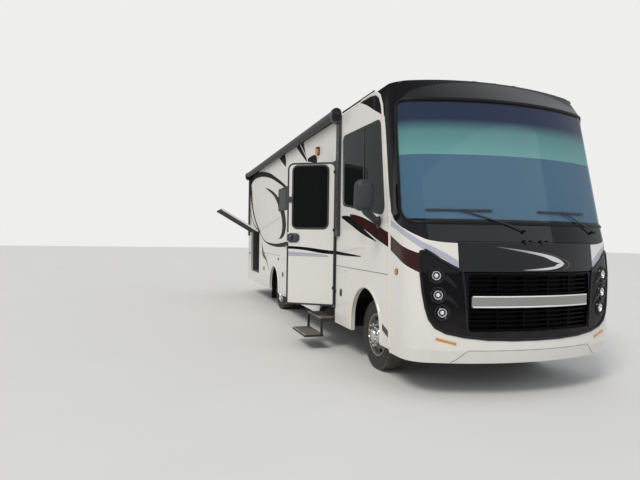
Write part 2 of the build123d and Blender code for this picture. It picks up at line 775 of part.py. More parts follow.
def make_frame():
    profile = Rectangle(RAIL_FLANGE, RAIL_TALL) - Pos(-RAIL_WEB, 0) * Rectangle(RAIL_FLANGE, RAIL_TALL - 2 * RAIL_WEB)
    rail = extrude(Plane.XZ * profile, -(REAR_Y - 150 - RAIL_START))
    rail = Pos(RAIL_X - RAIL_FLANGE / 2, RAIL_START, RAIL_LOW + RAIL_TALL / 2) * rail
    frame = rail + flip(rail)
    for y in (-1100.0, 1500.0, 2900.0, 4300.0, 6100.0, 7500.0, 8650.0):
        top = RAIL_LOW + RAIL_TALL - RAIL_WEB
        frame += box(-RAIL_X + RAIL_WEB, RAIL_X - RAIL_WEB, y - 35, y + 35, top - CROSS_TALL, top)
    for y in (700.0, 2200.0, 3600.0, 4750.0, 6000.0, 7400.0, 8700.0):
        for side in (KERB, STREET):
            low = RAIL_LOW + RAIL_TALL
            frame += box(side * (RAIL_X - RAIL_FLANGE), side * RAIL_X, y - 45, y + 45, low, DECK_Z - DECK_THICK)
    for side in (KERB, STREET):
        pad = box(side * (RAIL_X - PAD_WIDE), side * RAIL_X, PAD_Y - 60, PAD_Y + 60, RAIL_LOW - PAD_TALL, RAIL_LOW)
        frame += pad
    return frame


AXLE_Z = TYRE_RADIUS
TIE_Y = 210.0
SPRING_X = 390.0


def spring_pack(y, half_long, base_z):
    """Stack of leaves, longest on top."""
    stack = None
    for index in range(4):
        half = half_long * (1 - 0.2 * index)
        z = base_z - index * 14
        leaf = box(-38, 38, y - half, y + half, z - 14, z)
        stack = leaf if stack is None else stack + leaf
    return stack


def make_front_axle():
    z = AXLE_Z
    beam = box(-KINGPIN_X + 40, KINGPIN_X - 40, -38, 38, z - 50, z + 30)
    beam -= box(-KINGPIN_X + 90, KINGPIN_X - 90, -60, -18, z - 36, z + 14)
    beam -= box(-KINGPIN_X + 90, KINGPIN_X - 90, 18, 60, z - 36, z + 14)
    for side in (KERB, STREET):
        boss = Pos(side * KINGPIN_X, 0, z) * Cylinder(46, 110)
        beam += boss
        beam += Pos(side * SPRING_X, 0, 0) * spring_pack(0, 600, z + 86)
        beam += box(side * SPRING_X - 38, side * SPRING_X + 38, -520, -470, z + 86, RAIL_LOW)
        beam += box(side * SPRING_X - 38, side * SPRING_X + 38, 470, 520, z + 86, RAIL_LOW)
    for side in (KERB, STREET):
        beam -= Pos(side * KINGPIN_X, 0, z) * Cylinder(22 + PIN_GAP, 200)
    return beam


def make_rear_axle():
    z = AXLE_Z
    y = WHEELBASE
    axle = rod((-640, y, z), (640, y, z), 68)
    axle += rod((-HALF + 190, y, z), (HALF - 190, y, z), SPINDLE_RADIUS)
    axle += Pos(60, y, z) * Rot(90, 0, 0) * Cylinder(170, 230)
    for side in (KERB, STREET):
        axle += Pos(side * SPRING_X, 0, 0) * spring_pack(y, 700, z + 110)
        for end in (-1, 1):
            hang = y + end * 640
            axle += box(side * SPRING_X - 38, side * SPRING_X + 38, hang - 25, hang + 25, z + 96, RAIL_LOW)
    return axle


def make_knuckle(side):
    z = AXLE_Z
    pin = Pos(KINGPIN_X, 0, z) * Cylinder(22, 180)
    ears = Pos(KINGPIN_X, 0, z + 55 + 1 + 14) * Cylinder(42, 28) + Pos(KINGPIN_X, 0, z - 55 - 1 - 14) * Cylinder(42, 28)
    spine = box(KINGPIN_X + 52, KINGPIN_X + 86, -42, 42, z - 84, z + 84)
    web_top = box(KINGPIN_X, KINGPIN_X + 60, -30, 30, z + 56, z + 84)
    web_low = box(KINGPIN_X, KINGPIN_X + 60, -30, 30, z - 84, z - 56)
    spindle = rod((KINGPIN_X + 80, 0, z), (HALF - 190, 0, z), SPINDLE_RADIUS)
    arm = box(KINGPIN_X - 14, KINGPIN_X + 14, 20, TIE_Y, z - 84, z - 60)
    arm += Pos(KINGPIN_X, TIE_Y, z - 72) * Cylinder(26, 24)
    knuckle = pin + ears + spine + web_top + web_low + spindle + arm
    knuckle -= Pos(KINGPIN_X, TIE_Y, z - 72) * Cylinder(12 + PIN_GAP, 60)
    return knuckle if side == STREET else flip(knuckle)


def make_tie_rod():
    z = AXLE_Z - 72
    bar = rod((-KINGPIN_X, TIE_Y, z - 40), (KINGPIN_X, TIE_Y, z - 40), 16)
    for side in (KERB, STREET):
        bar += Pos(side * KINGPIN_X, TIE_Y, z - 36) * Cylinder(24, 44)
        bar += Pos(side * KINGPIN_X, TIE_Y, z - 6) * Cylinder(12, 60)
    return bar


def tyre_profile():
    """Half-round shouldered tyre section, axial distance by radius."""
    half = TYRE_WIDE / 2
    top = TYRE_RADIUS
    bead = BEAD_RADIUS
    rim = RIM_WIDE / 2
    rim = rim - 1
    low = bead + 16
    left = [
        Line((-rim, bead), (rim, bead)),
        Line((rim, bead), (rim, low)),
        ThreePointArc((rim, low), (half, bead + 95), (half - 12, top - 28)),
        ThreePointArc((half - 12, top - 28), (half - 19, top - 9), (half - 38, top - 4)),
        Line((half - 38, top - 4), (0, top)),
        Line((0, top), (38 - half, top - 4)),
        ThreePointArc((38 - half, top - 4), (19 - half, top - 9), (12 - half, top - 28)),
        ThreePointArc((12 - half, top - 28), (-half, bead + 95), (-rim, low)),
        Line((-rim, low), (-rim, bead)),
    ]
    return make_face(Wire(left))


def make_tyre(x):
    return Pos(x, 0, AXLE_Z) * revolve(tyre_profile(), Axis.X, 360)


def rim_solid(dish, hub_from, hub_to):
    """Steel wheel about the X axis: barrel, dished disc and hub, outer side towards +X."""
    rim = RIM_WIDE / 2
    bead = BEAD_RADIUS
    profile = [
        (-rim - 8, bead + 14), (-rim, bead + 14), (-rim, bead), (rim, bead), (rim, bead + 14),
        (rim + 8, bead + 14), (rim + 8, bead - 10), (rim - 20, bead - 14), (rim - 40, bead - 34),
        (-rim + 20, bead - 34), (-rim - 8, bead - 10),
    ]
    barrel = revolve(polygon(profile), Axis.X, 360)
    disc = revolve(polygon([
        (dish, 60), (dish + 12, 60), (dish + 12, 150), (dish * 0.45 + 12, bead - 30), (dish * 0.45, bead - 30), (dish, 150),
    ]), Axis.X, 360)
    solid = barrel + disc
    holes = 8
    for index in range(holes):
        turn = 360.0 / holes * index
        cut = Pos(0, 0, 188) * Rot(0, 90, 0) * Cylinder(24, 400)
        solid -= Rot(turn, 0, 0) * cut
    hub = Pos((hub_from + hub_to) / 2, 0, 0) * Rot(0, 90, 0) * Cylinder(HUB_RADIUS, hub_to - hub_from)
    return solid + hub


def make_front_rim(side):
    rim = rim_solid(62.0, -60.0, 110.0)
    rim = rim - Pos(-200, 0, 0) * Rot(0, 90, 0) * Cylinder(SPINDLE_RADIUS + PIN_GAP, 570)
    rim = Pos(TYRE_X, 0, AXLE_Z) * rim
    return rim if side == STREET else flip(rim)


def make_rear_rims(side):
    outer = rim_solid(-60.0, -100.0, 40.0)
    inner = flip(rim_solid(-60.0, -100.0, 40.0))
    both_rims = outer + Pos(-DUAL_SPACING, 0, 0) * inner
    both_rims += Pos(-DUAL_SPACING / 2, 0, 0) * Rot(0, 90, 0) * Cylinder(HUB_RADIUS, DUAL_SPACING)
    both_rims -= Pos(-200, 0, 0) * Rot(0, 90, 0) * Cylinder(SPINDLE_RADIUS + PIN_GAP, 900)
    both_rims = Pos(TYRE_X, WHEELBASE, AXLE_Z) * both_rims
    return both_rims if side == STREET else flip(both_rims)


def make_rear_tyres(side):
    pair = [Pos(0, WHEELBASE, 0) * make_tyre(TYRE_X), Pos(0, WHEELBASE, 0) * make_tyre(TYRE_X - DUAL_SPACING)]
    if side == KERB:
        pair = [flip(tyre) for tyre in pair]
    return solids_of(pair)


def make_engine():
    block = box(-330, 330, -1010, -60, 640, 1300)
    mount = box(-330, -RAIL_X + RAIL_WEB + SEAT_GAP, -700, -580, 690, 760)
    return block + mount + flip(mount)


def make_radiator():
    return box(-420, 420, -1240, RAIL_START - SEAT_GAP, 640, 1240)


def make_driveline():
    gearbox = box(-170, 170, -60 + SEAT_GAP, 620, 600, 880)
    shaft = rod((0, 620, 700), (60, WHEELBASE - 175, 460), 45)
    return gearbox + shaft


def make_tanks():
    fuel_half = RAIL_X - RAIL_FLANGE - SEAT_GAP
    fuel = fillet(box(-fuel_half, fuel_half, 6350, 7350, 480, 780).edges().filter_by(Axis.Y), 60)
    under_deck = DECK_Z - DECK_THICK
    fresh = box(-345, 345, 3000, 4200, 800, under_deck)
    waste = box(-345, 345, 7600, 8560, 800, under_deck)
    return solids_of([fuel, fresh, waste])


def make_exhaust():
    pipe = rod((250, 700, 520), (250, 2300, 520), 38)
    muffler = rod((250, 2300, 520), (250, 3100, 520), 105)
    tail = rod((250, 3100, 520), (250, 4500, 520), 38)
    hung = RAIL_LOW + RAIL_TALL - RAIL_WEB - CROSS_TALL
    straps = box(235, 265, 1494, 1506, 520, hung) + box(235, 265, 2894, 2906, 520, hung)
    straps += box(235, 265, 4294, 4306, 520, hung)
    return pipe + muffler + tail + straps


def make_luggage_boxes():
    boxes = []
    t = SHEET
    for side, name, y0, y1 in LUGGAGE:
        deep = LUGGAGE_DEEP if y1 > 1000 else LUGGAGE_DEEP + 60
        low, high = LUGGAGE_Z
        outer = box(side * INSIDE, side * (HALF - deep), y0 - t, y1 + t, low - t, DECK_Z - DECK_THICK)
        hollow = box(side * (INSIDE + 10), side * (HALF - deep + t), y0, y1, low, DECK_Z - DECK_THICK - t)
        boxes.append(outer - hollow)
    return solids_of(boxes)


def make_bay_liner():
    y0, y1, z0, z1 = BAY
    t = SHEET
    outer = box(-INSIDE, -INSIDE + BAY_DEEP, y0, y1, z0, z1)
    hollow = box(-INSIDE - 10, -INSIDE + BAY_DEEP - t, y0 + t, y1 - t, z0 + t, z1 - t)
    return outer - hollow


# Outside fittings

AWNING_Y = (1000.0, 8650.0)
AWNING_Z = 3335.0
AWNING_OUT = 75.0
ARM_Y = (935.0, 8590.0)
ARM_LOW = 1620.0


def make_awning():
    x = -HALF - AWNING_OUT
    roller = rod((x, AWNING_Y[0] + 40, AWNING_Z), (x, AWNING_Y[1] - 40, AWNING_Z), 56)
    parts = roller
    for y in ARM_Y:
        parts += box(-HALF - 40, -HALF, y, y + 120, ARM_LOW, 3290)
        head = Pos(x, y + 60, AWNING_Z) * Rot(90, 0, 0) * Cylinder(66, 120)
        parts += head
        parts += box(-HALF - 100, -HALF - 4, y, y + 120, 3200, AWNING_Z)
    return parts


STREET_MIRROR_BACK = 230.0


def make_mirrors():
    head = fillet(box(-1670, -1430, -650, -540, 1895, 2240).edges(), 32)
    arm = rod((-HALF - 20, -400, 1790), (-1450, -590, 1860), 18) + rod((-1450, -590, 1860), (-1550, -595, 1930), 18)
    base = Pos(-HALF - 12, -390, 1785) * Rot(0, 90, 0) * Cylinder(48, 24)
    mirror_set = head + arm + base
    return solids_of([mirror_set, Pos(0, STREET_MIRROR_BACK, 0) * flip(mirror_set)])


WIPER_Z = 1902.0
PIVOT_Z = 1705.0
# blade ends and pivot, as x
WIPERS = [(-1095.0, -440.0, -112.0), (95.0, 790.0, 914.0)]


def bow_band(x0, x1, z0, z1, out0, out1):
    """Band that follows the nose's bow, between two distances in front of it."""
    front, bow = nose_row((z0 + z1) / 2)
    ring = Circle(bow + out1) - Circle(bow + out0)
    band = Pos(0, front + bow, z0) * extrude(ring, z1 - z0)
    return band & box(x0, x1, NOSE_Y - 200, -500, z0 - 1, z1 + 1)


def make_wipers():
    wipers = []
    for x0, x1, pivot in WIPERS:
        blade = bow_band(x0, x1, WIPER_Z - 8, WIPER_Z + 8, 5, 17)
        middle = (x0 + x1) / 2
        joint = (middle, front_y(middle, WIPER_Z) - 22, WIPER_Z)
        foot = (pivot, front_y(pivot, PIVOT_Z) - 40, PIVOT_Z)
        root = (pivot, foot[1] + 60, PIVOT_Z)
        wipers.append(blade + rod(foot, joint, 7) + (rod(root, (foot[0], foot[1] - 8, foot[2]), 15) - OUTER))
    return solids_of(wipers)


def make_entry_steps():
    y0 = DOORWAY[0] + 32
    y1 = DOORWAY[1] - 18
    upper = box(-1485, -1245, y0, y1, 420, 450)
    lower = box(-1715, -1435, y0, y1, 190, 220)
    parts = upper + lower
    for y in (y0, y1 - 14):
        parts += step_link(y)
    return parts


def step_link(y):
    """Side plate that carries both treads from the stepwell's underside."""
    tuck = SILL_Z - SHEET - SEAT_GAP
    outline = [
        (-1712, 192), (-1446, 192), (-1446, 400), (-1262, 400), (-1110, 560), (-1110, tuck),
        (-1212, tuck), (-1212, 570), (-1300, 446), (-1482, 446), (-1482, 216), (-1712, 216),
    ]
    return through_front(polygon(outline), y, y + 14)


def make_roof_units():
    units = []
    for y in (2100.0, 6400.0):
        shell = box(-340, 340, y, y + 1000, GUTTER_Z, GUTTER_Z + ROOF_CROWN + 320)
        shell = fillet(shell.edges().filter_by(Axis.Z), 120)
        units.append(shell - OUTER)
    for x, y in [(500.0, 900.0), (-550.0, 4700.0), (420.0, 8200.0)]:
        units.append(box(x - 190, x + 190, y - 190, y + 190, GUTTER_Z, GUTTER_Z + ROOF_CROWN + 70) - OUTER)
    return solids_of(units)


LADDER_X = (-890.0, -510.0)


def make_ladder():
    y = REAR_Y + 95
    parts = None
    for x in LADDER_X:
        rail = rod((x, y, 820), (x, y, 3500), 16)
        parts = rail if parts is None else parts + rail
        for z in (900.0, 2100.0, 3200.0):
            parts += rod((x, REAR_Y, z), (x, y, z), 14)
    for index in range(9):
        z = 960 + index * 285
        parts += rod((LADDER_X[0], y, z), (LADDER_X[1], y, z), 13)
    return parts


def make_tail_lamps():
    lamps = []
    for z0 in (880.0, 1040.0):
        lamps += both(through_front(rounded(930, 1100, z0, z0 + 140, 40), REAR_Y, REAR_Y + 22))
    lamps.append(through_front(rounded(-120, 120, 3150, 3190, 15), REAR_Y, REAR_Y + 20))
    return solids_of(lamps)


HITCH_X = 25.8
HITCH_WALL = 6.4
HITCH_Z = 385.0
HITCH_PIN = 8.2
HITCH_OUT = 60.0
HITCH_PIN_BACK = 65.0


def make_rear_bumper():
    low, high = REAR_BUMPER_Z
    bumper = box(-BUMPER_HALF, BUMPER_HALF, REAR_Y, REAR_Y + 110, low, high)
    bumper = fillet(bumper.edges().filter_by(Axis.Z), 50)
    outer = HITCH_X + HITCH_WALL
    back = REAR_Y - 150
    bracket = box(-RAIL_X, -RAIL_X + 60, back, REAR_Y + 20, low, RAIL_LOW)
    bracket += box(-RAIL_X, -RAIL_X + 60, back, back + 80, HITCH_Z - outer, RAIL_LOW)
    bumper += bracket + flip(bracket)
    cross = box(-RAIL_X, RAIL_X, back, back + 2 * outer, HITCH_Z - outer, HITCH_Z + outer)
    tube = box(-outer, outer, back, REAR_Y + HITCH_OUT, HITCH_Z - outer, HITCH_Z + outer)
    bumper += cross + tube
    bumper -= box(-HITCH_X, HITCH_X, back - 10, REAR_Y + 200, HITCH_Z - HITCH_X, HITCH_Z + HITCH_X)
    pin_y = REAR_Y + HITCH_OUT - HITCH_PIN_BACK
    bumper -= Pos(0, pin_y, HITCH_Z) * Rot(0, 90, 0) * Cylinder(HITCH_PIN, 300)
    return bumper


# Inside

def make_dashboard():
    front = FIREWALL_Y
    outline = [
        (front, DASH_LOW), (-760, DASH_LOW), (-740, 1580), (-900, 1680), (-1040, 1760), (NOSE_Y, 1760),
        (NOSE_Y, 1720), (front, 1700),
    ]
    dash = INNER & through_side(polygon(outline), -HALF, HALF)
    column = rod((500, -800, 1560), (500, -606, 1732), 30)
    wheel = Plane(origin=(500, -610, 1730), z_dir=(0, 0.62, 0.78)) * Torus(205, 17)
    spokes = None
    for turn in (0, 120, 240):
        spoke = Plane(origin=(500, -610, 1730), z_dir=(0, 0.62, 0.78)) * (Rot(0, 0, turn) * Pos(100, 0, 0) * Box(212, 34, 14))
        spokes = spoke if spokes is None else spokes + spoke
    return dash + column + wheel + spokes


def make_seats():
    seats = []
    for side in (KERB, STREET):
        x = side * 620.0
        base = box(x - 170, x + 170, -160, 200, DECK_Z, DECK_Z + 330)
        cushion = fillet(box(x - 250, x + 250, -260, 260, DECK_Z + 330, DECK_Z + 480).edges(), 40)
        back = fillet(box(x - 240, x + 240, 180, 320, DECK_Z + 420, DECK_Z + 1080).edges(), 40)
        rest = fillet(box(x - 130, x + 130, 200, 300, DECK_Z + 1060, DECK_Z + 1250).edges(), 35)
        seats.append(base + cushion + back + rest)
    return solids_of(seats)


def make_overhead():
    shelf = INNER & box(-HALF, HALF, -800, 250, 2640, 3260)
    shelf -= box(-INSIDE + 30, INSIDE - 30, -640, 230, 2680, 3230)
    return shelf


# Nodes

NODES = {
    "roof_panel": make_roof,
    "side_wall_kerb": lambda: make_side_wall(KERB),
    "side_wall_street": lambda: make_side_wall(STREET),
    "skirt_kerb": lambda: make_skirt(KERB),
    "skirt_street": lambda: make_skirt(STREET),
    "rear_cap": make_rear_cap,
    "front_cap": make_front_cap,
    "nose_panel": make_nose_panel,
    "front_bumper": make_bumper,
    "hood": make_hood,
    "windshield": make_windshield,
    "grille": make_grille,
    "grille_bar": make_grille_bar,
    "headlamps": make_headlamps,
    "marker_lamps": make_markers,
    "side_glass": make_side_glass,
    "window_frames": make_window_frames,
    "entry_door": make_entry_door,
    "entry_door_glass": make_door_glass,
    "bay_hatch": make_bay_hatch,
    "slide_room": make_slide_room,
    "slide_glass": make_slide_glass,
    "floor_deck": make_floor,
    "chassis_frame": make_frame,
    "front_axle": make_front_axle,
    "rear_axle": make_rear_axle,
    "knuckle_kerb": lambda: make_knuckle(KERB),
    "knuckle_street": lambda: make_knuckle(STREET),
    "tie_rod": make_tie_rod,
    "tyre_front_kerb": lambda: flip(make_tyre(TYRE_X)),
    "tyre_front_street": lambda: make_tyre(TYRE_X),
    "rim_front_kerb": lambda: make_front_rim(KERB),
    "rim_front_street": lambda: make_front_rim(STREET),
    "tyres_rear_kerb": lambda: make_rear_tyres(KERB),
    "tyres_rear_street": lambda: make_rear_tyres(STREET),
    "rims_rear_kerb": lambda: make_rear_rims(KERB),
    "rims_rear_street": lambda: make_rear_rims(STREET),
    "engine_block": make_engine,
    "radiator": make_radiator,
    "driveline": make_driveline,
    "underfloor_tanks": make_tanks,
    "exhaust": make_exhaust,
    "luggage_boxes": make_luggage_boxes,
    "bay_liner": make_bay_liner,
    "awning": make_awning,
    "mirrors": make_mirrors,
    "wipers": make_wipers,
    "entry_steps": make_entry_steps,
    "roof_units": make_roof_units,
    "rear_ladder": make_ladder,
    "tail_lamps": make_tail_lamps,
    "rear_bumper": make_rear_bumper,
    "dashboard": make_dashboard,
    "cab_seats": make_seats,
    "overhead_cabinet": make_overhead,
}

built = {name: make() for name, make in NODES.items()}
for side, name, y0, y1 in LUGGAGE:
    built[name] = make_luggage_door(side, y0, y1)

extent = [shape.bounding_box() for shape in built.values()]
middle_x = (min(item.min.X for item in extent) + max(item.max.X for item in extent)) / 2
middle_y = (min(item.min.Y for item in extent) + max(item.max.Y for item in extent)) / 2

os.makedirs("parts", exist_ok=True)
for name, shape in built.items():
    solids = [Pos(-middle_x, -middle_y, 0) * solid for solid in shape.solids()]
    whole = solids[0] if len(solids) == 1 else Compound(solids)
    export_step(whole, f"parts/{name}.step")
print("moved by", round(-middle_x, 3), round(-middle_y, 3))
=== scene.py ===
import json
import math

import bmesh
import bpy
from mathutils import Matrix, Vector


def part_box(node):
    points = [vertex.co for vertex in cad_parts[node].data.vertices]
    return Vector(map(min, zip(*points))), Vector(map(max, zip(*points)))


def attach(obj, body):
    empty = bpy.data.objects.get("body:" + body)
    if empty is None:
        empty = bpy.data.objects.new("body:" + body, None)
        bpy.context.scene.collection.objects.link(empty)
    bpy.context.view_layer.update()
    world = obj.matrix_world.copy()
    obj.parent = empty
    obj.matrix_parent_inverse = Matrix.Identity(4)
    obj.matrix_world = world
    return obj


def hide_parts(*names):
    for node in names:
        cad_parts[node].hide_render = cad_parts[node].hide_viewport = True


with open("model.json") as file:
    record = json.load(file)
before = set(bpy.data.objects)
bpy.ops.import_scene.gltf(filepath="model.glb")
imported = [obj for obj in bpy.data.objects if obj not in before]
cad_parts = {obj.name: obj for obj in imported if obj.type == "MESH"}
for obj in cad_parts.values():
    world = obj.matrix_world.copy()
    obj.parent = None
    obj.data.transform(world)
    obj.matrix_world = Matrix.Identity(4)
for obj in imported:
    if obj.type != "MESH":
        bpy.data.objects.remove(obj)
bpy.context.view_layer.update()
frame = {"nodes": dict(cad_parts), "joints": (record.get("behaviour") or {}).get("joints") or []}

# The photographer stands off the kerb-side front corner at eye height, with a
# phone's wide lens, turned towards the coach and a little rolled. Places are in
# metres from the coach's centre plane and front axle, front towards minus y.
roof_low, roof_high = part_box("roof_panel")
tyre_low, tyre_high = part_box("tyre_front_kerb")
MIDDLE_X = (roof_low.x + roof_high.x) / 2
AXLE_Y = (tyre_low.y + tyre_high.y) / 2


def at(x, y, z):
    """A place on the coach, as a point of the frame."""
    return Vector((MIDDLE_X + x, AXLE_Y + y, z))


eye = bpy.data.cameras.new("photo_camera")
eye.lens = 28.24
eye.sensor_width = 36.0
yaw, pitch, roll = math.radians(17.3), math.radians(-0.32), math.radians(0.89)
ahead = Vector((math.sin(yaw) * math.cos(pitch), math.cos(yaw) * math.cos(pitch), math.sin(pitch)))
level = Vector((math.cos(yaw), -math.sin(yaw), 0))
above = level.cross(ahead)
right = level * math.cos(roll) + above * math.sin(roll)
up = above * math.cos(roll) - level * math.sin(roll)
camera = bpy.data.objects.new("photo_camera", eye)
eye_place = at(-3.629, -5.666, 1.604)
camera.matrix_world = Matrix.Translation(eye_place) @ Matrix((right, up, -ahead)).transposed().to_4x4()
bpy.context.scene.collection.objects.link(camera)
bpy.context.scene.camera = camera
bpy.context.scene.view_settings.view_transform = "Standard"


# The ground is a plain pale floor under plain soft studio light from all round.
# A soft sun ahead of the kerb side and a broad cool card ahead of the street
# side stand where the photograph has its light.


class Wire:
    """A socket among a finish's nodes, on which sums and products add Math nodes."""

    def __init__(self, tree, socket=None):
        self.tree = tree
        self.socket = socket

    def node(self, kind, inputs=None, output=0, **settings):
        """Any node: its settings first, then the values or links of its sockets."""
        made = self.tree.nodes.new("ShaderNode" + kind)
        for name, value in settings.items():
            if name == "stops":
                ramp = made.color_ramp
                for _ in value[2:]:
                    ramp.elements.new(0.5)
                for element, (place, colour) in zip(ramp.elements, value):
                    element.position = place
                    element.color = (*colour, 1)
            elif name == "line":
                curve = made.mapping.curves[0]
                for _ in value[2:]:
                    curve.points.new(0.5, 0.5)
                for point, place in zip(curve.points, value):
                    point.location = place
                made.mapping.update()
            else:
                setattr(made, name, value)
        for key, value in (inputs or {}).items():
            if isinstance(value, Wire):
                self.tree.links.new(value.socket, made.inputs[key])
            else:
                made.inputs[key].default_value = value
        return Wire(self.tree, made.outputs[output] if made.outputs else None)

    def math(self, operation, *values):
        return self.node("Math", dict(enumerate(values)), operation=operation)

    def __add__(self, other):
        return self.math("ADD", self, other)

    def __sub__(self, other):
        return self.math("SUBTRACT", self, other)

    def __rsub__(self, other):
        return self.math("SUBTRACT", other, self)

    def __mul__(self, other):
        return self.math("MULTIPLY", self, other)

    def __truediv__(self, other):
        return self.math("DIVIDE", self, other)

    def __gt__(self, other):
        return self.math("GREATER_THAN", self, other)

    def __lt__(self, other):
        return self.math("LESS_THAN", self, other)

    def __or__(self, other):
        return self.math("MAXIMUM", self, other)

    def __abs__(self):
        return self.math("ABSOLUTE", self)

    __radd__ = __add__
    __rmul__ = __mul__

    def clamp(self):
        """This wire held between 0 and 1."""
        return self.node("Clamp", {"Value": self})

    def over(self, below, colour):
        """This mask's colour laid over the one below it."""
        below = below if isinstance(below, Wire) else (*below, 1)
        colour = colour if isinstance(colour, Wire) else (*colour, 1)
        return self.node("Mix", {0: self, 6: below, 7: colour}, output=2, data_type="RGBA")

    def noise(self, spot, scale, detail=2.0):
        return self.node("TexNoise", {"Vector": spot, "Scale": scale, "Detail": detail})


def new_finish(name):
    """An empty finish and a wire to start its nodes from."""
    made = bpy.data.materials.new(name)
    made.use_nodes = True
    made.node_tree.nodes.clear()
    return made, Wire(made.node_tree)


def surface(wire, colour, rough, metal=0.0, coat=0.0, relief=None, depth=0.001, alpha=1.0, **fixed):
    """The finish's one shader: what varies is linked, what is even is set."""
    inputs = {"Base Color": colour if isinstance(colour, Wire) else (*colour, 1), "Roughness": rough,
              "Metallic": metal, "Coat Weight": coat, "Alpha": alpha, **fixed}
    if relief is not None:
        inputs["Normal"] = wire.node("Bump", {"Height": relief, "Strength": 0.6, "Distance": depth})
    wire.node("OutputMaterial", {"Surface": wire.node("BsdfPrincipled", inputs)})


floor_paint, wire = new_finish("studio_floor")
spot = wire.node("TexCoord", output="Object")
surface(wire, wire.noise(spot, 0.6).over((0.70, 0.70, 0.69), (0.74, 0.74, 0.73)), 0.9)
reach = 60
corners = [(-reach, -reach, 0), (reach, -reach, 0), (reach, reach, 0), (-reach, reach, 0)]
floor_mesh = bpy.data.meshes.new("studio_floor")
floor_mesh.from_pydata(corners, [], [(0, 1, 2, 3)])
floor_mesh.materials.append(floor_paint)
floor = bpy.data.objects.new("studio_floor", floor_mesh)
bpy.context.scene.collection.objects.link(floor)

sky = bpy.data.worlds.new("studio_sky")
bpy.context.scene.world = sky
sky.use_nodes = True
sky.node_tree.nodes.clear()
wire = Wire(sky.node_tree)
seen = wire.node("LightPath", output="Is Camera Ray")
soft = wire.node("Background", {"Color": (0.96, 0.98, 1.0, 1), "Strength": 0.59})
plain = wire.node("Background", {"Color": (0.86, 0.86, 0.85, 1), "Strength": 1.0})
wire.node("OutputWorld", {"Surface": wire.node("MixShader", {0: seen, 1: soft, 2: plain})})

sun = bpy.data.lights.new("soft_sun", "SUN")
sun.energy = 1.5
sun.angle = math.radians(18)
sun.color = (1.0, 0.95, 0.87)
sun_lamp = bpy.data.objects.new("soft_sun", sun)
sun_lamp.rotation_euler = Vector((-0.52, -0.42, 0.74)).to_track_quat("Z", "Y").to_euler()
bpy.context.scene.collection.objects.link(sun_lamp)

card = bpy.data.lights.new("soft_card", "AREA")
card.shape = "RECTANGLE"
card.size, card.size_y = 18.0, 4.5
card.energy = 240
card.color = (0.86, 0.93, 1.0)
card_lamp = bpy.data.objects.new("soft_card", card)
card_place, card_aim = at(4.0, -12.0, 8.5), at(0, 0, 1.5)
card_turn = (card_place - card_aim).to_track_quat("Z", "Y").to_matrix().to_4x4()
card_lamp.matrix_world = Matrix.Translation(card_place) @ card_turn
card_lamp.visible_camera = False
bpy.context.scene.collection.objects.link(card_lamp)


# Coachwork: glass-fibre walls, caps, skirts and doors in glossy cream gel coat.
# The maroon, lavender, black and olive bands are vinyl, cut through at each
# door, so a door that stands open is painted as it would be when shut.
CREAM = (0.745, 0.735, 0.70)
JET = (0.004, 0.004, 0.006)
MAROON = (0.034, 0.003, 0.003)
LAVENDER = (0.43, 0.43, 0.53)
OLIVE = (0.030, 0.028, 0.020)
BRONZE = (0.20, 0.145, 0.085)
SILVER_GREY = (0.52, 0.52, 0.53)


def line_height(t, points):
    """Height of a smooth line through a few (t, height) points."""
    start, end = points[0][0], points[-1][0]
    low = min(height for _, height in points)
    tall = max(max(height for _, height in points) - low, 0.001)
    line = [((place - start) / (end - start), (height - low) / tall) for place, height in points]
    share = (t - start) / (end - start)
    return t.node("FloatCurve", {"Value": share}, line=line) * tall + low


def band(t, v, lower, upper):
    """Mask of what lies between two lines, from the first point's t to the last one's."""
    return ((v > line_height(t, lower)) * (v < line_height(t, upper))
            * (t > max(lower[0][0], upper[0][0])) * (t < min(lower[-1][0], upper[-1][0])))


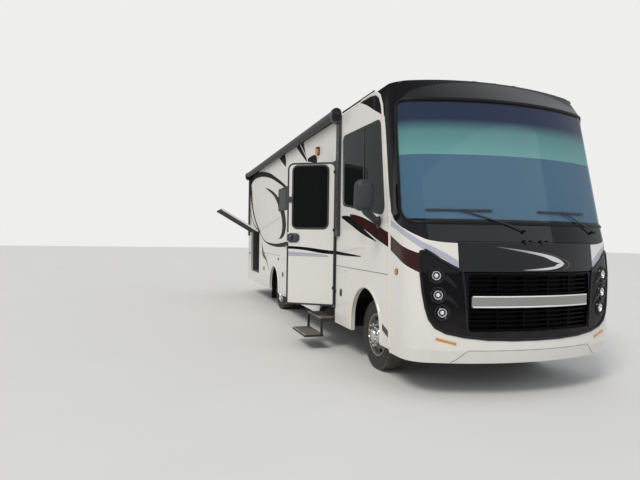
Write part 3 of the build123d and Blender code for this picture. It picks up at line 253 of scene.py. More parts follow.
# colour, lower line and upper line on the flanks, as distance from the axle and height
FLANK_BANDS = [
    (JET, [(-0.50, 2.97), (-0.186, 3.114), (0.065, 3.235), (0.32, 3.325)], [(-0.50, 3.34), (0.32, 3.34)]),
    (JET, [(-0.31, 1.560), (0.128, 1.655), (0.554, 1.780), (0.88, 1.874)],
     [(-0.31, 1.572), (0.0, 1.684), (0.267, 1.785), (0.60, 1.890), (0.88, 1.9)]),
    (JET, [(-0.70, 1.490), (-0.362, 1.582), (-0.063, 1.673), (0.268, 1.772), (0.56, 1.87)],
     [(-0.70, 1.650), (-0.356, 1.743), (-0.058, 1.820), (0.271, 1.885), (0.56, 1.915)]),
    (MAROON, [(-0.70, 1.502), (-0.362, 1.594), (-0.063, 1.685), (0.268, 1.784), (0.53, 1.876)],
     [(-0.70, 1.638), (-0.356, 1.731), (-0.058, 1.808), (0.271, 1.873), (0.53, 1.903)]),
    (LAVENDER, [(1.20, 1.320), (1.5, 1.322), (4.2, 1.36)], [(1.20, 1.325), (1.5, 1.375), (4.2, 1.43)]),
    (JET, [(0.14, 1.374), (0.461, 1.360), (1.1, 1.362), (1.8, 1.428), (4.25, 1.43)],
     [(0.14, 1.376), (0.462, 1.389), (1.1, 1.412), (1.8, 1.470), (4.25, 1.50)]),
    (OLIVE, [(4.2, 1.400), (5.55, 1.395), (6.49, 1.500), (7.187, 1.745), (7.805, 2.02), (8.323, 2.42),
             (8.66, 2.95)],
     [(4.2, 1.500), (5.55, 1.450), (6.49, 1.530), (7.187, 1.800), (7.805, 2.12), (8.20, 2.52), (8.36, 2.92),
      (8.66, 3.12)]),
    (JET, [(4.2, 2.555), (5.1, 2.795), (6.108, 3.003), (7.299, 3.133), (7.978, 3.138), (8.378, 3.068),
           (8.66, 2.90)],
     [(4.2, 2.620), (5.108, 2.883), (6.117, 3.123), (7.167, 3.26), (8.235, 3.318), (8.631, 3.238),
      (8.66, 3.20)]),
    (JET, [(2.700, 2.900), (2.834, 2.962), (3.474, 3.294)],
     [(2.700, 2.910), (2.923, 3.242), (2.99, 3.335), (3.474, 3.338)]),
    (CREAM, [(2.735, 2.965), (3.20, 3.290), (3.26, 3.335)], [(2.735, 2.980), (3.20, 3.316), (3.24, 3.338)]),
    (JET, [(4.262, 3.015), (4.361, 3.050), (4.948, 3.310)],
     [(4.262, 3.03), (4.431, 3.306), (4.60, 3.335), (4.948, 3.338)]),
    (JET, [(2.10, 2.80), (2.66, 2.90)], [(2.10, 2.83), (2.19, 2.944), (2.66, 2.952)]),
    (BRONZE, [(5.80, 0.80), (6.20, 1.02), (6.60, 1.12), (6.78, 1.40)],
     [(5.80, 0.83), (6.20, 1.10), (6.60, 1.30), (6.78, 1.47)]),
    (SILVER_GREY, [(4.66, 2.00), (6.77, 1.775)], [(4.66, 2.02), (6.77, 1.795)]),
    (OLIVE, [(7.30, 1.76), (8.2, 2.02), (8.76, 2.60)], [(7.30, 1.79), (8.2, 2.07), (8.76, 2.70)]),
]
# the crescent inside the swoosh is given by height instead
CRESCENT = ([(1.551, 4.90), (1.596, 4.444), (1.738, 4.222), (1.981, 4.238), (2.237, 4.486), (2.459, 4.978),
             (2.675, 5.735), (2.785, 6.462)],
            [(1.551, 4.92), (1.595, 4.723), (1.741, 4.545), (1.993, 4.599), (2.215, 4.862), (2.459, 5.284),
             (2.637, 5.846), (2.785, 6.48)])
CAP_EDGE = [(1.5, -0.70), (1.85, -0.700), (2.13, -0.640), (3.06, -0.462), (3.28, -0.330), (3.6, -0.320)]
COWL_EDGE = [(-1.60, 1.566), (-1.291, 1.568), (-1.222, 1.583), (-1.131, 1.633), (-1.017, 1.692),
             (-0.90, 1.742), (-0.786, 1.80), (-0.735, 1.85), (-0.60, 2.0)]
MASK_TOP = [(0.0, 1.30), (0.74, 1.286), (0.80, 1.290), (0.897, 1.339), (1.005, 1.402), (1.092, 1.473),
            (1.135, 1.496), (1.185, 1.47)]
MASK_FOOT = [(0.0, 0.600), (0.28, 0.602), (0.70, 0.628), (0.95, 0.668), (1.05, 0.72), (1.11, 0.80),
             (1.14, 0.90), (1.18, 1.20), (1.185, 1.46)]


def coach_paint(name, closed=None, inner=None):
    """Gel coat and vinyl of one panel.

    closed turns an open door's spots back to where it shuts. inner is the
    colour of its lining, with the front and back of its leaf.
    """
    made, wire = new_finish(name)
    spot = wire.node("TexCoord", output="Object")
    if closed:
        axis, centre, angle = closed
        spot = wire.node("VectorRotate", {"Vector": spot, "Center": centre, "Angle": angle},
                         rotation_type=axis)
    x = wire.node("SeparateXYZ", {0: spot}) - MIDDLE_X
    y = wire.node("SeparateXYZ", {0: spot}, output=1) - AXLE_Y
    z = wire.node("SeparateXYZ", {0: spot}, output=2)
    out = abs(x)
    flank = (out > 1.264) * (y > -0.70)
    mottle = wire.noise(spot, 1.7, 3.0)
    paint = mottle.over(CREAM, tuple(part * 0.965 for part in CREAM))
    vinyl = band(z, y, *CRESCENT) * flank
    paint = vinyl.over(paint, OLIVE)
    for colour, lower, upper in FLANK_BANDS:
        mark = band(y, z, lower, upper) * flank
        vinyl = vinyl | mark
        paint = mark.over(paint, colour)
    nose = y < -0.68
    lavender = band(y, z, [(-1.36, 1.270), (-1.257, 1.426), (-1.160, 1.521), (-0.991, 1.630),
                           (-0.70, 1.74)],
                    [(-1.36, 1.315), (-1.25, 1.495), (-1.151, 1.591), (-0.983, 1.692), (-0.70, 1.80)])
    paint = (lavender * nose).over(paint, LAVENDER)
    stripe_low = [(-1.24, 1.24), (-1.188, 1.270), (-0.931, 1.385), (-0.68, 1.49)]
    stripe_high = [(-1.24, 1.42), (-1.167, 1.452), (-0.925, 1.540), (-0.68, 1.64)]
    thin = 0.006
    edging = band(y, z, [(t, v - thin) for t, v in stripe_low], [(t, v + thin) for t, v in stripe_high])
    paint = (edging * nose).over(paint, JET)
    paint = (band(y, z, stripe_low, stripe_high) * nose).over(paint, MAROON)
    mask = band(out, z, MASK_FOOT, MASK_TOP) * (y < -1.0)
    cowl = (y < line_height(z, CAP_EDGE)) * (z > line_height(y, COWL_EDGE)) * (z > 1.5)
    jet = (mask | cowl) * (z > 0.55)
    paint = jet.over(paint, JET)
    slash = band(y, z, [(-0.672, 0.517), (-0.512, 0.575)], [(-0.669, 0.593), (-0.504, 0.652)]) * (out > 1.2)
    paint = slash.over(paint, MAROON)
    knuckles = (out > 1.2812) * (y > 1.03) * (y < 1.16)
    paint = knuckles.over(paint, JET)
    shell = 1.0
    if inner:
        colour, front_edge, back_edge = inner
        shell = (out > 1.2785) | (y < front_edge) | (y > back_edge)
        paint = shell.over(colour, paint)
    # road film: dust low on the skirts, faint runs below the gutter
    low_down = (0.95 - z) * 1.1
    streaks = wire.noise(wire.node("Mapping", {"Vector": spot, "Scale": (5.0, 5.0, 0.35)}), 2.2, 3.0)
    film = low_down.clamp() * wire.noise(spot, 6.0, 4.0) * 0.28
    paint = film.over(paint, (0.34, 0.29, 0.23))
    runs = ((streaks - 0.55) * 0.22).clamp() * (1 - jet)
    paint = runs.over(paint, (0.50, 0.45, 0.38))
    rough = 0.16 + mottle * 0.10 + film * 0.5 + vinyl * 0.38 + (1 - shell) * 0.4
    gloss = (0.5 - jet * ((y > -0.74) | (z < 1.27)) * 0.42) * (1 - vinyl) * shell
    ripple = wire.noise(spot, 2.4, 1.0) * 0.8 + wire.noise(spot, 260.0, 1.0) * 0.01
    surface(wire, paint, rough, coat=gloss, relief=ripple, depth=0.006, **{"Specular IOR Level": 0.06})
    return made


def dress(paint, *names):
    """Gives CAD nodes a better finish through their own material slots."""
    for name in names:
        for slot in frame["nodes"][name].material_slots:
            slot.material = paint


JOINTS = {joint["name"]: joint for joint in frame["joints"]}
DOOR_HINGE = Vector(JOINTS["entry_door_hinge"]["pos_m"])
HATCH_HINGE = Vector(JOINTS["bay_hatch_hinge"]["pos_m"])
DOOR_OPEN = math.radians(57.5)
HATCH_OPEN = math.radians(120)
panel_paint = coach_paint("cream_gel_coat")
DOOR_LINING, BAY_LINING = (0.30, 0.29, 0.27), (0.016, 0.016, 0.017)
door_paint = coach_paint("door_gel_coat", ("Z_AXIS", DOOR_HINGE, -DOOR_OPEN), (DOOR_LINING, 1.0, 1.9))
hatch_paint = coach_paint("hatch_gel_coat", ("Y_AXIS", HATCH_HINGE, -HATCH_OPEN),
                          (BAY_LINING, 7.116, 8.314))
dress(panel_paint, "side_wall_kerb", "side_wall_street", "skirt_kerb", "skirt_street", "rear_cap",
      "roof_panel", "front_cap", "nose_panel", "front_bumper", "slide_room",
      *(name for name in frame["nodes"] if "luggage_door" in name))
dress(door_paint, "entry_door")
dress(hatch_paint, "bay_hatch")


# Hood: a thin gloss-black lid above the grille, with one silver swoosh that
# doubles back on itself and a fine gold arc beside it, all in vinyl.
hood_paint, wire = new_finish("black_hood")
spot = wire.node("TexCoord", output="Object")
x = wire.node("SeparateXYZ", {0: spot}) - MIDDLE_X
z = wire.node("SeparateXYZ", {0: spot}, output=2)
fade = (x + 0.44) * 0.9
upper_sweep = band(x, z, [(-0.442, 1.533), (-0.282, 1.507), (-0.102, 1.477), (0.091, 1.437), (0.22, 1.39),
                          (0.36, 1.36)],
                   [(-0.442, 1.537), (-0.28, 1.519), (-0.099, 1.497), (0.095, 1.467), (0.252, 1.431),
                    (0.36, 1.372)])
lower_sweep = band(x, z, [(-0.162, 1.302), (0.004, 1.301), (0.184, 1.31), (0.296, 1.33), (0.36, 1.372)],
                   [(-0.162, 1.306), (0.006, 1.317), (0.134, 1.329), (0.215, 1.339), (0.267, 1.363),
                    (0.36, 1.374)])
gold_arc = band(z, x, [(1.308, 0.345), (1.353, 0.424), (1.385, 0.412), (1.437, 0.272), (1.488, 0.04)],
                [(1.308, 0.355), (1.353, 0.434), (1.385, 0.424), (1.437, 0.286), (1.488, 0.052)])
paint = wire.noise(spot, 3.0).over(JET, (0.012, 0.012, 0.014))
paint = gold_arc.over(paint, BRONZE)
silver = (upper_sweep | lower_sweep).clamp()
silver_stops = [(0.0, (0.10, 0.10, 0.11)), (0.5, (0.62, 0.62, 0.64))]
paint = silver.over(paint, fade.node("ValToRGB", {"Fac": fade}, stops=silver_stops))
surface(wire, paint, 0.08 + wire.noise(spot, 30.0, 3.0) * 0.05, coat=0.45,
        relief=wire.noise(spot, 2.2, 1.0), depth=0.004, **{"Specular IOR Level": 0.25})
dress(hood_paint, "hood")


# Glass: dark grey in the side windows, a paler blue-green in the windshield,
# whose blue is partly its tint and partly a painted reflection of the sky. It
# has a darker band across its top and a baked black border. The side panes are
# held in black rubber.
def glass_finish(name, colour, alpha, screen=False):
    made, wire = new_finish(name)
    spot = wire.node("TexCoord", output="Object")
    paint, clear = colour, alpha
    if screen:
        z = wire.node("SeparateXYZ", {0: spot}, output=2)
        top_band = ((z - 2.75) / 0.13).clamp()
        visor = z > 2.49
        pale = ((2.90 - z) / 0.40).clamp()
        paint = visor.over(colour, pale.over((0.08, 0.20, 0.23), (0.16, 0.38, 0.38)))
        paint = top_band.over(paint, (0.018, 0.028, 0.065))
        border = (z < 1.812) | (z > 3.066)
        paint = border.over(paint, JET)
        clear = alpha + top_band * 0.24 + visor * 0.05 + border
    smear = wire.noise(spot, 5.0, 4.0)
    y = wire.node("SeparateXYZ", {0: spot}, output=1) - AXLE_Y
    gloss = 0.05 if screen else (y < 1.0) * 0.22
    surface(wire, paint, 0.03 + smear * 0.05, alpha=clear, coat=gloss, relief=wire.noise(spot, 1.1, 1.0),
            depth=0.004, **{"Specular IOR Level": 0.25 if screen else 0.07})
    return made


side_tint = glass_finish("grey_side_glass", (0.008, 0.011, 0.011), 0.86)
dress(side_tint, "side_glass", "slide_glass")
dress(glass_finish("door_glass", (0.004, 0.006, 0.005), 0.95), "entry_door_glass")
# the windshield's blue base colour is partly its tint and partly a painted reflection of the sky
dress(glass_finish("windshield_glass", (0.080, 0.170, 0.265), 0.72, screen=True), "windshield")


def simple_finish(name, dark, pale, rough, metal=0.0, coat=0.0, grain=9.0, bump=0.0006, stretch=(1, 1, 1),
                  **fixed):
    """A worn finish between two shades, with its grain in colour, gloss and relief."""
    made, wire = new_finish(name)
    spot = wire.node("Mapping", {"Vector": wire.node("TexCoord", output="Object"), "Scale": stretch})
    broad = wire.noise(spot, grain, 4.0)
    fine = wire.noise(spot, grain * 14, 2.0)
    surface(wire, (broad * 0.75 + fine * 0.25).over(dark, pale), rough + broad * 0.14, metal, coat,
            relief=broad * 0.4 + fine * 0.6, depth=bump, **fixed)
    return made


rubber = simple_finish("black_rubber", (0.012, 0.012, 0.012), (0.028, 0.028, 0.028), 0.55, grain=30.0)
dress(rubber, "window_frames")


# Windshield seal: a black rubber moulding that holds the glass all round. Its
# section is a low lip, glued into the joint between glass and cap. It follows
# the nose, which is bowed in plan with rounded corners.
HALF_WIDE, CORNER = 1.280, 0.300
# height, front-most y and bow radius, straight between the heights
NOSE_ROWS = [(0.370, -1.445, 2.8), (0.500, -1.475, 2.8), (1.270, -1.465, 2.8), (1.575, -1.425, 2.8),
             (1.800, -1.358, 2.8), (3.120, -1.032, 2.8), (3.430, -0.685, 5.6)]


def row_y(x, front, bow):
    corner_x = HALF_WIDE - CORNER
    middle = front + bow
    if abs(x) <= corner_x * bow / (bow - CORNER):
        return middle - math.sqrt(bow ** 2 - x ** 2)
    corner_y = middle - math.sqrt((bow - CORNER) ** 2 - corner_x ** 2)
    return corner_y - math.sqrt(max(CORNER ** 2 - (abs(x) - corner_x) ** 2, 0))


def nose_y(x, z):
    low, high = NOSE_ROWS[0], NOSE_ROWS[-1]
    for first, second in zip(NOSE_ROWS, NOSE_ROWS[1:]):
        if first[0] <= z <= second[0]:
            low, high = first, second
    share = (z - low[0]) / (high[0] - low[0])
    return row_y(x, *low[1:]) * (1 - share) + row_y(x, *high[1:]) * share


def nose(x, z, out=0.0):
    """The point of the nose at x and z, a little out from its surface."""
    here = Vector((x, nose_y(x, z), z))
    return at(*(here + nose_out(x, z) * out))


def nose_out(x, z):
    """Which way the nose's surface faces."""
    step = 0.004
    near = min(abs(x), 1.27) * (1 if x >= 0 else -1)
    slope_x = (nose_y(near + step, z) - nose_y(near - step, z)) / (2 * step)
    slope_z = (nose_y(near, z + step) - nose_y(near, z - step)) / (2 * step)
    return Vector((slope_x, -1, slope_z)).normalized()


def rounded_turn(before, corner, after, radius, steps=8):
    """Points of the arc that rounds one corner of a flat outline."""
    first = (before - corner).normalized()
    second = (after - corner).normalized()
    half = first.angle(second) / 2
    centre = corner + (first + second).normalized() * radius / math.sin(half)
    start = corner + first * radius / math.tan(half) - centre
    end = corner + second * radius / math.tan(half) - centre
    return [centre + start.lerp(end, step / steps).normalized() * radius for step in range(steps + 1)]


def nose_x(y, z):
    """How far out from the middle the nose's surface lies at y and z."""
    low, high = 0.0, HALF_WIDE
    for _ in range(40):
        middle = (low + high) / 2
        low, high = (middle, high) if nose_y(middle, z) < y else (low, middle)
    return low


def shaped(name, shape, paint, sharp=35):
    """An object of one shape and one finish, smooth but for its sharp edges."""
    verts, faces = shape
    form = bmesh.new()
    made = [form.verts.new(spot) for spot in verts]
    for face in faces:
        form.faces.new([made[index] for index in face])
    bmesh.ops.remove_doubles(form, verts=form.verts, dist=0.00002)
    bmesh.ops.recalc_face_normals(form, faces=form.faces)
    mesh = bpy.data.meshes.new(name)
    form.to_mesh(mesh)
    form.free()
    mesh.polygons.foreach_set("use_smooth", [True] * len(mesh.polygons))
    mesh.set_sharp_from_angle(angle=math.radians(sharp))
    mesh.materials.append(paint)
    item = bpy.data.objects.new(name, mesh)
    bpy.context.scene.collection.objects.link(item)
    return item


def fitted(item, body):
    """The finished object, carried on its body."""
    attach(item, body)
    return item


def piece(name, shape, paint, body, sharp=35):
    """A finished piece of the coach, fitted to its body."""
    return fitted(shaped(name, shape, paint, sharp), body)


def sweep(path, section, closed=False, lean=None):
    """A flat section, as (across, up) pairs, carried along a path; lean is its up side."""
    count, steps = len(path), len(section)
    verts, faces = [], []
    for index, spot in enumerate(path):
        before = path[index - 1] if index or closed else spot
        after = path[(index + 1) % count] if index + 1 < count or closed else spot
        ahead = (Vector(after) - Vector(before)).normalized()
        up = Vector(lean(spot)) if callable(lean) else Vector(lean or (0, 0, 1))
        if abs(ahead.dot(up)) > 0.98:
            up = ahead.orthogonal()
        across = ahead.cross(up).normalized()
        up = across.cross(ahead)
        verts += [Vector(spot) + across * a + up * b for a, b in section]
    for index in range(count if closed else count - 1):
        after = (index + 1) % count
        for step in range(steps):
            side = (step + 1) % steps
            faces.append([index * steps + step, index * steps + side, after * steps + side,
                          after * steps + step])
    if not closed:
        faces.append(list(range(steps)))
        faces.append(list(range((count - 1) * steps, count * steps)))
    return verts, faces


def oval(across, up, steps=12):
    return [(across * math.cos(2 * math.pi * k / steps), up * math.sin(2 * math.pi * k / steps))
            for k in range(steps)]


SCREEN_LOW, SCREEN_HIGH = Vector((-0.926, 1.772)), Vector((-0.678, 3.103))
low_turn = rounded_turn(Vector((-2, SCREEN_LOW.y)), SCREEN_LOW, SCREEN_HIGH, 0.200)
high_turn = rounded_turn(SCREEN_LOW, SCREEN_HIGH, Vector((-2, SCREEN_HIGH.y)), 0.070)
sides = low_turn + [low_turn[-1].lerp(high_turn[0], step / 9) for step in range(1, 9)] + high_turn
half_seal = [(nose_x(*spot), spot.y) for spot in sides]
half_seal = ([(half_seal[0][0] * step / 10, SCREEN_LOW.y) for step in range(10)] + half_seal
             + [(half_seal[-1][0] * (1 - step / 10), SCREEN_HIGH.y) for step in range(1, 11)])
seal = [nose(x, z, 0.003) for x, z in half_seal]
seal += [nose(-x, z, 0.003) for x, z in reversed(half_seal[1:-1])]
seal_black = simple_finish("seal_black", (0.003, 0.003, 0.003), (0.006, 0.006, 0.007), 0.35, grain=30.0,
                           **{"Specular IOR Level": 0.2})
piece("windshield_seal", sweep(seal, oval(0.018, 0.009), True, lambda p: nose_out(p.x - MIDDLE_X, p.z)),
      seal_black, "coach")


# Seam moulding: a cream half-round strip down each side, over the joint of
# the front cap and the wall, that turns back under the gutter at its top. A
# fine grey joint runs between wall and skirt.
KERB, STREET = -1, 1


def several(shapes):
    """Several shapes as one."""
    verts, faces = [], []
    for more_verts, more_faces in shapes:
        base = len(verts)
        verts += more_verts
        faces += [[base + index for index in face] for face in more_faces]
    return verts, faces


strip_paint = simple_finish("cream_strip", (0.70, 0.665, 0.60), (0.80, 0.765, 0.69), 0.25, coat=0.5,
                            grain=5.0)
STRIP = [(-0.715, 0.43), (-0.690, 1.0), (-0.672, 1.6), (-0.650, 1.85), (-0.552, 2.40), (-0.452, 2.95),
         (-0.415, 3.12), (-0.35, 3.235), (-0.24, 3.30), (-0.08, 3.325), (0.20, 3.332)]
strips = []
for side in (KERB, STREET):
    path = [at(side * 1.2815, y, z) for y, z in STRIP]
    strips.append(sweep(path, oval(0.026, 0.009, 10), lean=(side, 0, 0)))
piece("seam_strips", several(strips), strip_paint, "coach")
# grey of the joints between wall and skirt, and the painted shade in the bumper's crease
joint_grey_and_crease_shade = simple_finish("joint_grey_and_crease_shade", (0.16, 0.155, 0.145), (0.27, 0.26, 0.245), 0.6, grain=20.0)
JOINT_RUNS = [(KERB, -0.655, 1.075), (KERB, 4.75, 7.06), (STREET, -0.655, 1.88), (STREET, 4.72, 8.86)]
joints = []
for side, start, end in JOINT_RUNS:
    path = [at(side * 1.2803, start + (end - start) * k / 8, 1.206) for k in range(9)]
    joints.append(sweep(path, oval(0.0045, 0.002, 8), lean=(side, 0, 0)))
piece("wall_joints", several(joints), joint_grey_and_crease_shade, "coach")


# Arch lips: a rounded cream flange that stiffens the edge of each wheel arch.
# It is moulded with the skirt and stands a little proud of it.
WHEELBASE = 5.283
ARCH_RADIUS, LIP_RADIUS, LIP_FOOT = 0.452, 0.468, 0.42
lips = []
for side in (KERB, STREET):
    for axle, top in [(0.0, 1.000), (WHEELBASE, 0.950)]:
        path = [at(side * HALF_WIDE, axle + LIP_RADIUS, LIP_FOOT)]
        for step in range(25):
            turn = math.pi * step / 24
            y = axle + LIP_RADIUS * math.cos(turn)
            path.append(at(side * HALF_WIDE, y, top - ARCH_RADIUS + LIP_RADIUS * math.sin(turn)))
        path.append(at(side * HALF_WIDE, axle - LIP_RADIUS, LIP_FOOT))
        lips.append(sweep(path, oval(0.022, 0.012, 10), lean=(side, 0, 0)))
piece("arch_lips", several(lips), strip_paint, "coach")


# Mask rim: the gloss-black nose mask is moulded with a raised bead round its
# edge, and with a rib either side that frames the grille.
mask_black = simple_finish("mask_black", (0.005, 0.005, 0.007), (0.010, 0.010, 0.013), 0.12, coat=0.15,
                           grain=3.0, **{"Specular IOR Level": 0.22})
half_rim = [(0.0, 0.606), (0.28, 0.608), (0.55, 0.618), (0.78, 0.642), (0.95, 0.678), (1.05, 0.73),
            (1.105, 0.81), (1.135, 0.92), (1.160, 1.08), (1.176, 1.25), (1.180, 1.40), (1.165, 1.475),
            (1.130, 1.492), (1.075, 1.455), (1.000, 1.398), (0.897, 1.339), (0.790, 1.279)]
rim_path = [nose(x, z, 0.002) for x, z in reversed(half_rim)]
rim_path += [nose(-x, z, 0.002) for x, z in half_rim[1:]]
RIB = [(0.800, 1.270), (0.785, 1.15), (0.772, 1.0), (0.762, 0.85), (0.752, 0.68)]
beads = [sweep(rim_path, oval(0.016, 0.013, 10), lean=lambda p: nose_out(p.x - MIDDLE_X, p.z))]
for side in (KERB, STREET):
    rib = [nose(side * x, z, 0.002) for x, z in RIB]
    beads.append(sweep(rib, oval(0.014, 0.012, 10), lean=(0, -1, 0)))
piece("mask_rim", several(beads), mask_black, "coach")


# Bumper seam: the joint where the lower valance meets the bumper's skin, with
# a slanted end on each side. It is a narrow grey strip let into the surface; its
# grey is painted shade in the crease.
half_seam = [(0.0, 0.502), (0.20, 0.502), (0.40, 0.502), (0.60, 0.502), (0.737, 0.502), (0.79, 0.456),
             (0.85, 0.403), (0.895, 0.376)]
seam_path = [nose(-x, z, 0.0) for x, z in reversed(half_seam)] + [nose(x, z, 0.0) for x, z in half_seam[1:]]
piece("bumper_crease_shade", sweep(seam_path, oval(0.0035, 0.0025, 8), lean=(0, -1, 0)), joint_grey_and_crease_shade, "coach")


# Headlamps: three round projector lamps a side, each a bowl painted near white
# as a painted highlight and a clear domed lens clipped into a deep black bezel.
# A tapered fin runs in and down from each of the upper two.


def lathe(profile, centre, axis, steps=48):
    """Closed round form about an axis, from (radius, distance along it) pairs."""
    axis = Vector(axis).normalized()
    side = axis.orthogonal().normalized()
    other = axis.cross(side)
    verts, rings = [], []
    for radius, along in profile:
        base = Vector(centre) + axis * along
        if radius == 0:
            rings.append([len(verts)] * steps)
            verts.append(base)
            continue
        rings.append(list(range(len(verts), len(verts) + steps)))
        for step in range(steps):
            turn = 2 * math.pi * step / steps
            verts.append(base + (side * math.cos(turn) + other * math.sin(turn)) * radius)
    faces = []
    for first, second in zip(rings, rings[1:]):
        for step in range(steps):
            after = (step + 1) % steps
            corners = [first[step], first[after], second[after], second[step]]
            corners = list(dict.fromkeys(corners))
            if len(corners) > 2:
                faces.append(corners)
    return verts, faces


LAMPS = [(1.044, 1.241), (1.026, 1.048), (0.987, 0.874)]
# radius and distance out from the nose
BEZEL = [(0.043, -0.030), (0.043, 0.002), (0.052, -0.004), (0.064, 0.004), (0.076, 0.016), (0.083, 0.014),
         (0.089, 0.004), (0.092, -0.012), (0.092, -0.030)]
BOWL = [(0.0, 0.003), (0.010, 0.002), (0.018, -0.002), (0.021, -0.010), (0.022, -0.026), (0.024, -0.026),
        (0.033, -0.016), (0.0385, 0.000), (0.0395, 0.006), (0.0435, 0.006), (0.0445, -0.012)]
LENS = [(0.0, 0.014), (0.016, 0.013), (0.030, 0.009), (0.0385, 0.004), (0.039, -0.001)]
# near-white bowl finish: a painted highlight, also used on the grille bar's rolled edges
highlight_white = simple_finish("lamp_bowl_highlight", (0.84, 0.85, 0.87), (0.96, 0.96, 0.97), 0.12, metal=0.6, grain=14.0)
lens_made, wire = new_finish("clear_lens")
spot = wire.node("TexCoord", output="Object")
ridges = wire.node("TexWave", {"Vector": spot, "Scale": 40.0, "Distortion": 0.5}, output=1)
surface(wire, (0.88, 0.91, 0.94), 0.04 + wire.noise(spot, 25.0) * 0.04, alpha=0.06, coat=0.3, relief=ridges,
        depth=0.0006)
bezels, bowls, lenses = [], [], []
for side in (KERB, STREET):
    for x, z in LAMPS:
        face = nose_out(side * x, z)
        centre = nose(side * x, z)
        bezels.append(lathe(BEZEL, centre, face, 40))
        bowls.append(lathe(BOWL, centre, face, 40))
        lenses.append(lathe(LENS, centre, face, 40))
        if z < 0.9:
            continue
        fin_path, widths = [], []
        for step in range(9):
            share = step / 8
            drop = 0.012 + 0.110 * share * (0.6 + 0.4 * share)
            fin_path.append(nose(side * (x - 0.075 - 0.115 * share), z - drop))
            widths.append(0.034 * (1 - share) ** 0.8 + 0.003)
        fin_verts, fin_faces = sweep(fin_path, oval(1.0, 0.6, 10), lean=tuple(face))
        for index, vert in enumerate(fin_verts):
            spine = fin_path[index // 10]
            fin_verts[index] = spine + (vert - spine) * widths[index // 10]
        bezels.append((fin_verts, fin_faces))
piece("lamp_bezels", several(bezels), mask_black, "coach")
piece("lamp_bowls", several(bowls), highlight_white, "coach")
piece("lamp_lenses", several(lenses), lens_made, "coach")
dress(mask_black, "headlamps")


# Grille: moulded slats in a frame before a closed sheet, all near black: the
# slats are black plastic darkened further by painted shade, and the sheet is
# painted shade inside the grille. Across them a polished bar, left plain, whose
# rolled top and bottom edges are painted near white as a painted highlight.
# near-black slats and frame: black plastic darkened further as painted shade inside the grille
grille_shade_black = simple_finish("grille_shade_black", (0.0010, 0.0010, 0.0012), (0.0024, 0.0025, 0.0028), 0.26,
                             grain=12.0, **{"Specular IOR Level": 0.05})
dress(grille_shade_black, "grille")
# a near-black sheet behind the slats, standing for the shade inside the grille
shade_rows = []
for row in range(12):
    z = 0.66 + 0.62 * row / 11
    shade_rows.append([nose(x / 20, z, -0.075) for x in range(-17, 18)])
wide = len(shade_rows[0])
sheet = [spot for row in shade_rows for spot in row]
half_count = len(sheet)
sheet += [spot + Vector((0, 0.004, 0)) for spot in sheet]
faces = []
for row in range(len(shade_rows) - 1):
    for column in range(wide - 1):
        corner = row * wide + column
        quad = [corner, corner + 1, corner + wide + 1, corner + wide]
        faces += [quad, [half_count + k for k in reversed(quad)]]
rim = (list(range(wide)) + [wide * row + wide - 1 for row in range(1, len(shade_rows))]
       + [half_count - 1 - k for k in range(1, wide)]
       + [wide * row for row in range(len(shade_rows) - 2, 0, -1)])
faces += [[a, b, half_count + b, half_count + a] for a, b in zip(rim, rim[1:] + rim[:1])]
piece("grille_shade_sheet", (sheet, faces), grille_shade_black, "coach")
chrome = simple_finish("polished_chrome", (0.27, 0.28, 0.26), (0.40, 0.41, 0.39), 0.06, metal=1.0,
                       grain=2.0)
dress(chrome, "grille_bar")
# the bar's rolled edges carry the near-white painted highlight finish
edges = []
for z in (0.935, 1.038):
    path = [nose(x / 20, z, 0.004) for x in range(-14, 15)]
    edges.append(sweep(path, oval(0.0075, 0.0065, 10), lean=(0, -1, 0)))
piece("bar_edges", several(edges), highlight_white, "coach")


# Markers: amber lenses in shallow black bases, screwed to the brow and low along
# both sides, slits in the bumper, and the porch light above the entry door.


def block(low, high, edge, steps=2):
    """A block with all its edges rounded."""
    form = bmesh.new()
    bmesh.ops.create_cube(form, size=1)
    low, high = Vector(low), Vector(high)
    for vert in form.verts:
        vert.co = Vector([low[k] + (high[k] - low[k]) * (vert.co[k] + 0.5) for k in range(3)])
    bmesh.ops.bevel(form, geom=form.edges[:], offset=edge, segments=steps, profile=0.5, affect="EDGES")
    verts = [vert.co.copy() for vert in form.verts]
    faces = [[vert.index for vert in face.verts] for face in form.faces]
    form.free()
    return verts, faces


def round_rect(u0, u1, v0, v1, radius, steps=6):
    """Points round a rectangle with rounded corners."""
    points = []
    for cu, cv, start in [(u1 - radius, v1 - radius, 0), (u0 + radius, v1 - radius, 90),
                          (u0 + radius, v0 + radius, 180), (u1 - radius, v0 + radius, 270)]:
        for step in range(steps + 1):
            turn = math.radians(start + 90 * step / steps)
            points.append((cu + radius * math.cos(turn), cv + radius * math.sin(turn)))
    return points


def plate(outline, depth, edge):
    """A flat plate with a rounded rim, from points and the way it faces."""
    verts, rings = [], []
    middle = sum((spot for spot, _ in outline), Vector()) / len(outline)
    for shrink, out in [(0.0, 0.0), (0.0, depth - edge), (edge * 0.35, depth - edge * 0.3), (edge, depth)]:
        rings.append(len(verts))
        for spot, away in outline:
            inward = (middle - spot).normalized()
            verts.append(spot + inward * shrink + away * out)
    count = len(outline)
    faces = [[base + k, base + (k + 1) % count, after + (k + 1) % count, after + k]
             for base, after in zip(rings, rings[1:]) for k in range(count)]
    faces.append(list(range(count)))
    faces.append([rings[-1] + k for k in range(count)])
    return verts, faces


def wall_plate(side, x, y, z, wide, tall, radius, depth, edge, steps=6):
    """A rounded plate flat on a side wall; wide and tall reach from its middle."""
    outline = round_rect(-wide, wide, -tall, tall, radius, steps)
    return plate([(at(side * x, y + u, z + v), Vector((side, 0, 0))) for u, v in outline], depth, edge)


